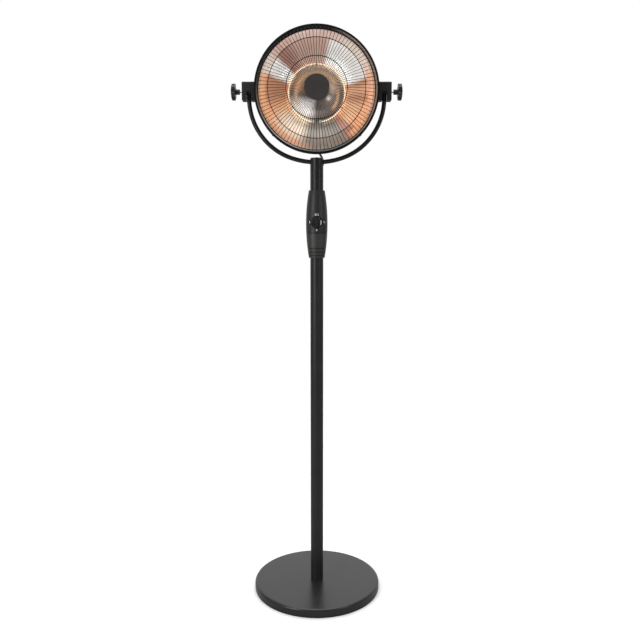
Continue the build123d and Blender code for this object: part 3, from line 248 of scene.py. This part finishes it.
cast_iron = coat("cast_iron", 0.05, 0.10, 0.55, 0.75, 260, 0.0002, patch=30, metallic=0.5)
concrete = coat(
    "concrete", (0.34, 0.33, 0.31), (0.44, 0.43, 0.41), 0.85, 0.95, 300, 0.0003, patch=40)
inner_plastic = coat(
    "inner_plastic", (0.50, 0.48, 0.42), (0.60, 0.58, 0.52), 0.45, 0.55, 900, 0.00003)
washer_fibre = coat(
    "washer_fibre", (0.22, 0.18, 0.12), (0.34, 0.28, 0.20), 0.7, 0.85, 1400, 0.00005)
ceramic = coat(
    "ceramic", (0.62, 0.60, 0.55), (0.74, 0.72, 0.67), 0.55, 0.7, 1200, 0.00004, patch=60)
white_print = coat("white_print", 0.72, 0.80, 0.5, 0.6, 2500, 0.00001, patch=120)


def lay_over(material, share, colour, specular=0.0):
    """Lays a second colour, with its own specular level, over a coat where share is 1."""
    tree = material.node_tree
    shader = next(node for node in tree.nodes if node.type == "BSDF_PRINCIPLED")
    below = shader.inputs["Base Color"].links[0].from_socket
    tree.links.new(mix_colours(tree, share, below, colour), shader.inputs["Base Color"])
    own = shader.inputs["Specular IOR Level"].default_value
    level = ramp(tree, share, [(0.0, own), (1.0, specular)])
    tree.links.new(level, shader.inputs["Specular IOR Level"])


RIM_BORDER = 0.2130, 0.2148      # radii between which the painted reflection on the inner edge gives way to the black paint
RIM_EDGE_SPECULAR = 0.2


def rim_material():
    """Black rim whose inner edge carries a painted reflection of the glowing reflector, darker
    towards the top.
    """
    material = coat("rim_paint", 0.0035, 0.0055, 0.45, 0.55, 1300, 0.00003, specular=0.15)
    tree = material.node_tree
    _, _, radius, turn = head_polar(tree)
    # painted reflection: colours of the glowing reflector laid on the rim's inner edge by angle
    # round the head
    reflected_tan = (0.35, 0.27, 0.22)
    reflected_dull_grey = (0.25, 0.235, 0.215)
    reflected_pale = (0.60, 0.55, 0.52)
    edge_reflection = ramp(tree, turn, [
        (0.0, 0.004), (0.04, 0.01), (0.10, reflected_tan), (0.36, reflected_tan), (0.42, reflected_dull_grey),
        (0.52, reflected_dull_grey), (0.60, reflected_pale), (0.67, reflected_tan), (0.76, 0.05), (0.84, 0.02),
        (0.94, 0.004)])
    inside = calculate(tree, "SUBTRACT", 1.0, step(tree, radius, *RIM_BORDER))
    lay_over(material, inside, edge_reflection, RIM_EDGE_SPECULAR)
    return material


rim_paint = rim_material()

GROOVE_REACH = 2.6 * MM          # a groove's shade fades out this far above and below it
GROOVE_SHADE = (0.002, 0.002, 0.002)
SEAM = (1.367, 0.35)             # height and depth of shade of the joint over the collar
COLLAR_RINGS = [(1.287, 0.7), (1.299, 0.7), (1.313, 0.7)]


def grooved(name, dark, light, grooves, specular):
    """Moulded plastic with painted shade in its level grooves, given as (height, share)."""
    material = coat(name, dark, light, 0.40, 0.50, 1900, 0.00006, specular=specular)
    tree = material.node_tree
    level = object_axes(tree)["Z"]
    share = 0.0
    for height, depth in grooves:
        groove = calculate(tree, "MULTIPLY", band(tree, level, height, GROOVE_REACH), depth)
        share = calculate(tree, "MAXIMUM", share, groove)
    lay_over(material, share, GROOVE_SHADE)
    return material


housing_plastic = grooved("housing_plastic", 0.014, 0.020, [SEAM], 0.4)
# the grip collar's plastic: its warmer tone is its own, its extra lightness over housing_plastic
# is painted light
warm_lit_collar_plastic = grooved(
    "warm_lit_collar_plastic", (0.028, 0.0275, 0.024), (0.037, 0.036, 0.032), [*COLLAR_RINGS, SEAM], 0.5)


def dial_material():
    """Polished black plastic."""
    material, tree, shader = new_material("dial_plastic")
    haze = noise(tree, 400, 3)
    tree.links.new(spread(tree, haze, 0.004, 0.006), shader.inputs["Base Color"])
    tree.links.new(spread(tree, haze, 0.07, 0.12), shader.inputs["Roughness"])
    shader.inputs["Specular IOR Level"].default_value = 0.7
    return material


dial_plastic = dial_material()


# ---------------------------------------------------------------- bare metals
def brushed(name, dark, light, rough_low, rough_high, stretch):
    """Metal with fine lines along one direction."""
    material, tree, shader = new_material(name)
    lines = noise(tree, 700, 3, 0.6, stretch)
    tree.links.new(spread(tree, lines, dark, light), shader.inputs["Base Color"])
    rough = spread(tree, lines, rough_low, rough_high, 0.25, 0.75)
    tree.links.new(rough, shader.inputs["Roughness"])
    bump(tree, shader, lines, 0.25, 0.00002)
    shader.inputs["Metallic"].default_value = 1.0
    return material


steel = brushed("steel", (0.42, 0.42, 0.43), (0.56, 0.56, 0.57), 0.28, 0.42, (1, 1, 0.1))
brass = brushed("brass", (0.55, 0.38, 0.14), (0.68, 0.50, 0.22), 0.25, 0.38, (0.1, 1, 1))

REFLECTOR_GLOW = 0.55            # painted glow: emission that stands in for the lamp's own light on the reflector
BOWL_BORDER = 0.092, 0.104       # radii between which the bowl gives way to the dish
LIP_BORDER = 0.181, 0.186        # and the dish to the lip
WAVER = 0.02                     # how far the wedges' borders waver, as a share of a turn
LAMP_RING = 0.077                # radius of the lamp's painted mirror image in the bowl
LAMP_RING_REACH = 0.011          # it fades out this far inside and outside that radius
LAMP_RING_COLOUR = (0.95, 0.60, 0.34)
GLINT = (0.042, -0.010)          # a small painted highlight: x and height above the pivots
GLINT_SIZE = 0.014
GLINT_COLOUR = (0.98, 0.86, 0.82)


def reflected_wedge_colours(tree, angle):
    """Painted reflections of the lamp's glow and the lights, by angle round the head's axis: in
    the inner bowl, on the dish and on the outer lip.
    """
    pale = (1.0, 0.99, 0.96)
    ivory = (0.79, 0.70, 0.63)
    cream = (0.72, 0.59, 0.47)
    rose = (0.62, 0.41, 0.34)
    light_rose = (0.74, 0.56, 0.51)
    dusk = (0.42, 0.22, 0.175)
    peach = (0.88, 0.50, 0.31)
    dull_peach = (0.72, 0.42, 0.29)
    amber = (0.82, 0.43, 0.24)
    dull_amber = (0.72, 0.40, 0.23)
    brown = (0.58, 0.285, 0.165)
    grey = (0.25, 0.225, 0.20)
    tan = (0.52, 0.38, 0.29)
    shade = (0.21, 0.165, 0.14)
    deep_shade = (0.15, 0.13, 0.12)
    mirror = (0.87, 0.84, 0.81)
    bowl = ramp(tree, angle, [
        (0.0, tan), (0.16, tan), (0.25, shade), (0.34, shade), (0.40, deep_shade),
        (0.50, deep_shade), (0.575, mirror), (0.665, mirror), (0.75, shade), (0.83, brown),
        (0.92, tan)])
    dish = ramp(tree, angle, [
        (0.0, rose), (0.03, rose), (0.05, pale), (0.20, pale), (0.214, brown), (0.24, peach),
        (0.27, brown), (0.30, peach), (0.365, amber), (0.375, dusk), (0.395, dusk), (0.405, grey),
        (0.53, grey), (0.57, cream), (0.63, cream), (0.69, amber), (0.73, brown), (0.797, brown),
        (0.812, pale), (0.855, pale), (0.868, dusk), (0.895, dusk), (0.935, rose)])
    lip = ramp(tree, angle, [
        (0.0, light_rose), (0.05, light_rose), (0.10, ivory), (0.17, ivory), (0.215, dull_peach),
        (0.30, dull_peach), (0.35, dull_amber), (0.39, dull_amber), (0.402, dusk), (0.42, grey),
        (0.51, grey), (0.57, dull_peach), (0.68, dull_amber), (0.785, dull_amber), (0.81, ivory),
        (0.84, ivory), (0.885, rose), (0.95, light_rose)])
    return bowl, dish, lip


def reflector_material():
    """Polished spun aluminium with the lamp's glow and the lights painted on in wedges, as spun
    aluminium reflects them, and a painted glow of its own.
    """
    material, tree, shader = new_material("reflector_aluminium")
    across, up, radius, turn = head_polar(tree)
    # the wedges' borders waver a little
    waves = calculate(tree, "SUBTRACT", noise(tree, 9, 4), 0.5)
    sway = calculate(tree, "MULTIPLY", waves, WAVER)
    angle = wrap(tree, calculate(tree, "ADD", turn, sway))
    bowl, dish, lip = reflected_wedge_colours(tree, angle)
    coloured = mix_colours(tree, step(tree, radius, *BOWL_BORDER), bowl, dish)
    coloured = mix_colours(tree, step(tree, radius, *LIP_BORDER), coloured, lip)
    # painted reflection of the lamp in the bowl as a ring, and one small painted highlight
    ring_share = ramp(tree, angle, [
        (0.0, 0.95), (0.14, 0.75), (0.19, 0.15), (0.24, 0.6), (0.34, 0.8), (0.38, 0.0),
        (0.62, 0.0), (0.68, 0.55), (0.80, 0.7), (0.86, 0.95)])
    ring = band(tree, radius, LAMP_RING, LAMP_RING_REACH)
    ring = calculate(tree, "MULTIPLY", ring, ring_share)
    coloured = mix_colours(tree, ring, coloured, LAMP_RING_COLOUR)
    glint = spot(tree, across, up, GLINT, GLINT_SIZE)
    coloured = mix_colours(tree, glint, coloured, GLINT_COLOUR)
    # painted reflection: fine light and dark streaks along the radius
    streaks = spread(tree, line_noise(tree, turn, 150, 2), 0.86, 1.0)
    coloured = mix_colours(tree, 1.0, coloured, streaks, "MULTIPLY")
    tree.links.new(coloured, shader.inputs["Base Color"])
    # painted glow: the reflector gives off its painted colours as light, though it is no lamp
    tree.links.new(coloured, shader.inputs["Emission Color"])
    shader.inputs["Emission Strength"].default_value = REFLECTOR_GLOW
    # spinning lines: rings about the head's axis
    rings = line_noise(tree, radius, 900, 3)
    bump(tree, shader, rings, 0.15, 0.00002)
    tree.links.new(spread(tree, rings, 0.34, 0.46), shader.inputs["Roughness"])
    tangent = add_node(tree, "ShaderNodeTangent", direction_type="RADIAL", axis="Y")
    tree.links.new(tangent.outputs["Tangent"], shader.inputs["Tangent"])
    shader.inputs["Anisotropic"].default_value = 0.85
    shader.inputs["Metallic"].default_value = 1.0
    return material


reflector_metal = reflector_material()


# ---------------------------------------------------------------- lamp
def filament_material():
    """Hot wire: emission that varies a little along its length."""
    material, tree, shader = new_material("filament")
    hot, cooler = (1.0, 0.90, 0.70), (0.85, 0.765, 0.595)
    tone = spread(tree, noise(tree, 60, 4), cooler, hot)
    tree.links.new(tone, shader.inputs["Emission Color"])
    shader.inputs["Emission Strength"].default_value = 1.35
    shader.inputs["Roughness"].default_value = 0.4
    return material


def quartz_material():
    """Clear tube that scatters some of the filament's light."""
    material, tree, shader = new_material("quartz")
    haze = noise(tree, 50, 4)
    tree.links.new(spread(tree, haze, 0.03, 0.10), shader.inputs["Roughness"])
    warmth = spread(tree, haze, (1.0, 0.66, 0.38), (1.0, 0.74, 0.48))
    tree.links.new(warmth, shader.inputs["Emission Color"])
    shader.inputs["Base Color"].default_value = (1.0, 0.93, 0.84, 1)
    shader.inputs["Transmission Weight"].default_value = 0.9
    shader.inputs["IOR"].default_value = 1.2
    shader.inputs["Emission Strength"].default_value = 0.03
    return material


filament_glow = filament_material()
quartz = quartz_material()


# ---------------------------------------------------------------- materials on the solids
by_slot = {
    "black_paint": black_paint, "wire_paint": wire_paint, "housing_plastic": housing_plastic,
    "dial_plastic": dial_plastic, "knob_plastic": knob_plastic, "pivot_block_paint": block_paint,
    "cast_weight": concrete, "foot_iron": cast_iron, "steel": steel, "dark_screws": screw_black,
    "reflector_aluminium": reflector_metal, "quartz": quartz, "filament": filament_glow,
    "ceramic": ceramic, "brass": brass, "rubber": rubber, "cable_rubber": cable_rubber,
    "inner_plastic": inner_plastic, "washer_fibre": washer_fibre,
}
by_node = {
    "base_cover": base_paint, "centre_cap": cap_paint, "rim_ring": rim_paint,
    "dial_bezel": bezel_plastic, "grip_collar": warm_lit_collar_plastic, "lower_tube": lit_mast_paint,
}

for part in frame["record"]["subparts"]:
    name = part["node"]
    if name in nodes:
        nodes[name].data.materials.clear()
        nodes[name].data.materials.append(by_node.get(name, by_slot[part["material_slot"]]))


# ---------------------------------------------------------------- own pieces
def mesh_object(name, build, material, body, smooth=True):
    """Object from a function that fills a bmesh; it rides on a body, if one is given."""
    shape = bmesh.new()
    build(shape)
    mesh = bpy.data.meshes.new(name)
    shape.to_mesh(mesh)
    shape.free()
    for face in mesh.polygons:
        face.use_smooth = smooth
    mesh.materials.append(material)
    thing = bpy.data.objects.new(name, mesh)
    bpy.context.scene.collection.objects.link(thing)
    if body:
        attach(thing, body)
    return thing


def full_turn(count):
    """Angles of points that are evenly spread round a circle."""
    return [2 * math.pi * k / count for k in range(count)]


def join_rings(shape, rings):
    """Closed skin over a row of rings that have equally many corners, with flat ends."""
    for low, high in zip(rings, rings[1:]):
        for k in range(len(low)):
            after = (k + 1) % len(low)
            shape.faces.new((low[k], low[after], high[after], high[k]))
    shape.faces.new(rings[0][::-1])
    shape.faces.new(rings[-1])


def sweep_path(shape, points, radius, sides):
    """Round bar along points, with square ends."""
    rings = []
    last = len(points) - 1
    normal = None
    for index, point in enumerate(points):
        along = (points[min(index + 1, last)] - points[max(index - 1, 0)]).normalized()
        if normal is None:
            normal = along.orthogonal().normalized()
        normal = (normal - along * normal.dot(along)).normalized()
        side = along.cross(normal)
        ring = []
        for turn in full_turn(sides):
            outward = math.cos(turn) * normal + math.sin(turn) * side
            ring.append(shape.verts.new(point + radius * outward))
        rings.append(ring)
    join_rings(shape, rings)


# ---------------------------------------------------------------- round wires of the grille
WIRE_COUNT, WIRE_SIDES = 96, 8
WIRE_RADIUS = 0.9 * MM
DOME_CROWN = 94.2 * MM   # how far the dome's middle lies before the tilt axis
DOME_BALL = 800 * MM     # radius of the ball that the dome is part of
WIRE_START = 34 * MM     # radius about the head's axis at which a wire starts, under the cap
WIRE_SIDE = 207.8 * MM   # radius at which its straight part runs back
WIRE_END = 39.5 * MM     # how far before the tilt axis that part ends
WIRE_BEND = 8 * MM       # radius of the bend between dome and straight part
DOME_STEPS, BEND_STEPS = 14, 6


def dome(radius):
    """How far the grille's dome lies before the tilt axis at a radius."""
    return DOME_CROWN - DOME_BALL + math.sqrt(DOME_BALL**2 - radius**2)


def wire_profile():
    """(forward, radius) points of one wire: dome, bend, side."""
    slope = math.asin(WIRE_SIDE / DOME_BALL)
    bend_turn = math.pi / 2 - slope
    inset = WIRE_BEND * math.tan(bend_turn / 2)
    last = WIRE_SIDE - inset * math.cos(slope)
    radii = [WIRE_START + (last - WIRE_START) * i / DOME_STEPS for i in range(DOME_STEPS + 1)]
    points = [(dome(radius), radius) for radius in radii]
    forward, radius = dome(WIRE_SIDE) - inset, WIRE_SIDE - WIRE_BEND
    for i in range(1, BEND_STEPS + 1):
        turn = slope + bend_turn * i / BEND_STEPS
        points.append((forward + WIRE_BEND * math.cos(turn), radius + WIRE_BEND * math.sin(turn)))
    points.append((WIRE_END, WIRE_SIDE))
    return points


def build_wires(shape):
    """All wires of the grille, evenly spread round the head's axis."""
    profile = wire_profile()
    for turn in full_turn(WIRE_COUNT):
        path = [Vector((r * math.sin(turn), -f, PIVOT_Z + r * math.cos(turn))) for f, r in profile]
        sweep_path(shape, path, WIRE_RADIUS, WIRE_SIDES)


wires = mesh_object("round_wires", build_wires, wire_paint, "head")
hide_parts("grille_wires")


# ---------------------------------------------------------------- cable from the mast to the head
# corners in mm, from the head's terminal block to the one in the housing
CABLE_ROUTE = [
    (0, 92, 1878.5), (0, 98, 1840), (0, 98, 1770), (1, 106, 1734), (4, 121, 1702),
    (8, 128, 1672), (24, 121, 1645), (23, 104, 1621), (11, 84, 1606), (0, 64, 1602.4),
    (0, 6, 1602.4), (0, -9, 1591), (0, -15, 1568), (0, -12, 1532), (0, -4, 1495), (0, 7, 1461.5)]
CABLE_RADIUS, CABLE_SIDES = 4.0 * MM, 20
CORNER_SHARE = 0.45      # share of the shorter run beside a corner that its arc takes up
ARC_STEP = 3             # degrees of an arc between two points


def rounded_route(corners):
    """Points along the route, each corner rounded with an arc."""
    spots = [Vector(c) * MM for c in corners]
    points = [spots[0]]
    for before, corner, after in zip(spots, spots[1:], spots[2:]):
        arriving, leaving = corner - before, after - corner
        cut = CORNER_SHARE * min(arriving.length, leaving.length)
        first = corner - arriving.normalized() * cut
        last = corner + leaving.normalized() * cut
        turn = arriving.angle(leaving)
        inward = (leaving.normalized() - arriving.normalized()).normalized()
        radius = cut / math.tan(turn / 2)
        centre = corner + inward * (radius / math.cos(turn / 2))
        steps = max(3, int(math.degrees(turn) / ARC_STEP))
        start = (first - centre).normalized()
        end = (last - centre).normalized()
        for i in range(steps + 1):
            points.append(centre + radius * start.slerp(end, i / steps))
    points.append(spots[-1])
    return points


def build_cable(shape):
    """Cable along its rounded route."""
    sweep_path(shape, rounded_route(CABLE_ROUTE), CABLE_RADIUS, CABLE_SIDES)


cable = mesh_object("smooth_cable", build_cable, cable_rubber, None)
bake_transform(cable)
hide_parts("head_cable")


# ---------------------------------------------------------------- hollow face of the rotary switch
DIAL_SIDES, DIAL_ROWS = 48, 8
DIAL_FLAT = 8 * MM       # radius of the dish's flat middle
DIAL_EDGE = 19.3 * MM    # and of the whole dish
DIAL_FACE = 35.3 * MM    # how far its middle lies in front of the mast's axis
DIAL_SUNK = 0.3 * MM     # how far the piece reaches back from there, into the dial
DIAL_DISH = 11.5         # the dish rises by this times the radius squared
SHARP = math.radians(40)         # edges that turn by more aren't shaded smooth


def build_dial_face(shape):
    """Turned dish with a flat middle, set on the dial round its grip."""
    profile = []
    for i in range(DIAL_ROWS + 1):
        radius = DIAL_FLAT + (DIAL_EDGE - DIAL_FLAT) * i / DIAL_ROWS
        profile.append((radius, DIAL_FACE + DIAL_DISH * (radius**2 - DIAL_FLAT**2)))
    profile.append((DIAL_EDGE, DIAL_FACE - DIAL_SUNK))
    rings = []
    for radius, forward in profile:
        rings.append([
            shape.verts.new((radius * math.sin(turn), -forward, DIAL_Z + radius * math.cos(turn)))
            for turn in full_turn(DIAL_SIDES)])
    join_rings(shape, rings)
    for edge in shape.edges:
        edge.smooth = edge.calc_face_angle() < SHARP


mesh_object("dial_face", build_dial_face, dial_plastic, "dial")


# ---------------------------------------------------------------- marks round the rotary switch
BELLY_Z, BELLY_R = 1.403, 39.5 * MM      # height and radius of the housing's widest place
TOP_Z, END_R = 1.523, 29.2 * MM          # and of its upper end
PRINT_LIFT = 0.12 * MM   # how far the marks stand out of the housing, and reach into it
PRINT_STEPS = 4          # cells along and across a bar, so that it follows the housing


def housing_front(x, z):
    """Y of the housing's front surface."""
    drop, reach = BELLY_R - END_R, TOP_Z - BELLY_Z
    bend = (drop**2 + reach**2) / (2 * drop)
    radius = BELLY_R - bend + math.sqrt(bend**2 - (z - BELLY_Z) ** 2)
    return -math.sqrt(radius**2 - x**2)


def print_slab(shape, rows, closed=False):
    """Thin slab on the housing over rows of (x, z) points; a closed one is a ring of rows."""
    front, back = [
        [[shape.verts.new((x, housing_front(x, z) - lift, z)) for x, z in row] for row in rows]
        for lift in (PRINT_LIFT, -PRINT_LIFT)]
    count, cells = len(rows), range(len(rows[0]) - 1)
    for i in range(count if closed else count - 1):
        after = (i + 1) % count
        for layer in (front, back):
            for j in cells:
                shape.faces.new(
                    (layer[i][j], layer[after][j], layer[after][j + 1], layer[i][j + 1]))
        for j in (0, -1):
            shape.faces.new((front[i][j], front[after][j], back[after][j], back[i][j]))
    if not closed:
        for i in (0, -1):
            for j in cells:
                shape.faces.new((front[i][j], front[i][j + 1], back[i][j + 1], back[i][j]))


def print_bar(shape, left, foot, wide, tall):
    """Upright bar from its lower left corner, in mm from the dial's axis."""
    shares = [i / PRINT_STEPS for i in range(PRINT_STEPS + 1)]
    xs = [(left + wide * share) * MM for share in shares]
    zs = [DIAL_Z + (foot + tall * share) * MM for share in shares]
    print_slab(shape, [[(x, z) for z in zs] for x in xs])


def print_ring(shape, drop, inner, outer, squeeze, stretch, sides):
    """Upright oval ring below the dial's axis, in mm."""
    rows = []
    for turn in full_turn(sides):
        across, rise = squeeze * math.cos(turn), stretch * math.sin(turn)
        rows.append([(r * across * MM, DIAL_Z + (r * rise - drop) * MM) for r in (inner, outer)])
    print_slab(shape, rows, closed=True)


def build_marks(shape):
    """III above the dial, I at its left, II at its right and 0 below."""
    for left in (-6.4, -1.0, 4.4):
        print_bar(shape, left, 23.0, 2.0, 7.4)
    print_bar(shape, -26.9, -4.4, 2.3, 8.8)
    for left in (25.2, 28.2):
        print_bar(shape, left, -3.4, 1.3, 6.8)
    print_ring(shape, 29.0, 1.5, 3.0, 0.85, 1.25, 20)
    bmesh.ops.recalc_face_normals(shape, faces=shape.faces[:])


mesh_object("switch_marks", build_marks, white_print, "stand", smooth=False)


# ---------------------------------------------------------------- floor
FLOOR_HALF = 30
FLOOR_NEAR, FLOOR_FAR = 0.10, 0.55       # own glow of the floor, to the camera only
FLOOR_REACH = 7.5                        # the glow rises to its far value over this distance
FLOOR_DIM = (0.45, 0.45, 0.45)           # the floor's colour to all other rays


def floor_material():
    """Floor that stays white to the camera, with the shadow kept; darker to other rays."""
    material, tree, shader = new_material("floor_white")
    path = add_node(tree, "ShaderNodeLightPath")
    seen = path.outputs["Is Camera Ray"]
    pale = spread(tree, noise(tree, 3, 3), 0.90, 0.93, 0.2, 0.8)
    tree.links.new(mix_colours(tree, seen, FLOOR_DIM, pale), shader.inputs["Base Color"])
    shader.inputs["Roughness"].default_value = 0.9
    shader.inputs["Specular IOR Level"].default_value = 0.0
    coords = add_node(tree, "ShaderNodeTexCoord")
    length = add_node(tree, "ShaderNodeVectorMath", operation="LENGTH")
    tree.links.new(coords.outputs["Object"], length.inputs[0])
    far = step(tree, length.outputs["Value"], 0.0, FLOOR_REACH)
    rise = calculate(tree, "MULTIPLY", far, FLOOR_FAR - FLOOR_NEAR)
    glow = calculate(tree, "ADD", rise, FLOOR_NEAR)
    tree.links.new(calculate(tree, "MULTIPLY", glow, seen), shader.inputs["Emission Strength"])
    shader.inputs["Emission Color"].default_value = (1, 1, 1, 1)
    return material


floor_corners = [
    (x * FLOOR_HALF, y * FLOOR_HALF, 0) for x, y in ((-1, -1), (1, -1), (1, 1), (-1, 1))]
floor_mesh = bpy.data.meshes.new("floor")
floor_mesh.from_pydata(floor_corners, [], [(0, 1, 2, 3)])
floor_mesh.materials.append(floor_material())
floor = bpy.data.objects.new("floor", floor_mesh)
bpy.context.scene.collection.objects.link(floor)


# ---------------------------------------------------------------- light
# grey of the world by direction, from the front (0) over the side (0.5) to the back (1)
WORLD_GREYS = [(0.0, 0.22), (0.55, 0.40), (0.85, 1.0)]

# place, target, width, height and power of each lamp
LAMPS = {
    "overhead": ((0, 0.3, 4.2), (0, 0.3, 0), 4.0, 4.0, 120),
    "key_left": ((-2.2, -2.4, 1.75), (0, 0, 1.3), 1.0, 2.4, 46),
    "fill_right": ((2.4, -2.0, 1.85), (0, 0, 1.3), 0.5, 1.2, 11),
}


def studio_world():
    """White to the camera; it lights the object brightly from behind and dimly from the front."""
    world = bpy.data.worlds.new("studio")
    world.use_nodes = True
    tree = world.node_tree
    tree.nodes.clear()
    out = add_node(tree, "ShaderNodeOutputWorld")
    seen = add_node(tree, "ShaderNodeBackground")
    lit = add_node(tree, "ShaderNodeBackground")
    pick = add_node(tree, "ShaderNodeMixShader")
    path = add_node(tree, "ShaderNodeLightPath")
    seen.inputs["Color"].default_value = (1, 1, 1, 1)
    coords = add_node(tree, "ShaderNodeTexCoord")
    split = add_node(tree, "ShaderNodeSeparateXYZ")
    tree.links.new(coords.outputs["Generated"], split.inputs["Vector"])
    backward = add_node(tree, "ShaderNodeMapRange")
    tree.links.new(split.outputs["Y"], backward.inputs["Value"])
    backward.inputs["From Min"].default_value = -1.0
    tone = ramp(tree, backward.outputs["Result"], WORLD_GREYS)
    tree.links.new(tone, lit.inputs["Color"])
    tree.links.new(path.outputs["Is Camera Ray"], pick.inputs["Fac"])
    tree.links.new(lit.outputs[0], pick.inputs[1])
    tree.links.new(seen.outputs[0], pick.inputs[2])
    tree.links.new(pick.outputs[0], out.inputs["Surface"])
    return world


def area_light(name, place, target, width, height, power):
    """Rectangular lamp that faces its target."""
    data = bpy.data.lights.new(name, "AREA")
    data.shape = "RECTANGLE"
    data.size, data.size_y = width, height
    data.energy = power
    lamp = bpy.data.objects.new(name, data)
    lamp.location = place
    lamp.rotation_euler = (Vector(target) - Vector(place)).to_track_quat("-Z", "Y").to_euler()
    bpy.context.scene.collection.objects.link(lamp)


bpy.context.scene.world = studio_world()
for name, settings in LAMPS.items():
    area_light(name, *settings)


# ---------------------------------------------------------------- camera
CAMERA_PLACE = (0.0118, -2.592, 1.374)
CAMERA_DIP = 7.2                         # degrees below level
SENSOR = 36.0
FOCAL_SHARE = 700 / 640                  # focal length as a share of the picture's width

camera_data = bpy.data.cameras.new("camera")
camera_data.sensor_width = SENSOR
camera_data.lens = FOCAL_SHARE * SENSOR
camera_data.clip_end = 100
camera = bpy.data.objects.new("camera", camera_data)
camera.location = CAMERA_PLACE
camera.rotation_euler = (math.radians(90 - CAMERA_DIP), 0, 0)
bpy.context.scene.collection.objects.link(camera)
bpy.context.scene.camera = camera
bpy.context.scene.view_settings.view_transform = "Standard"
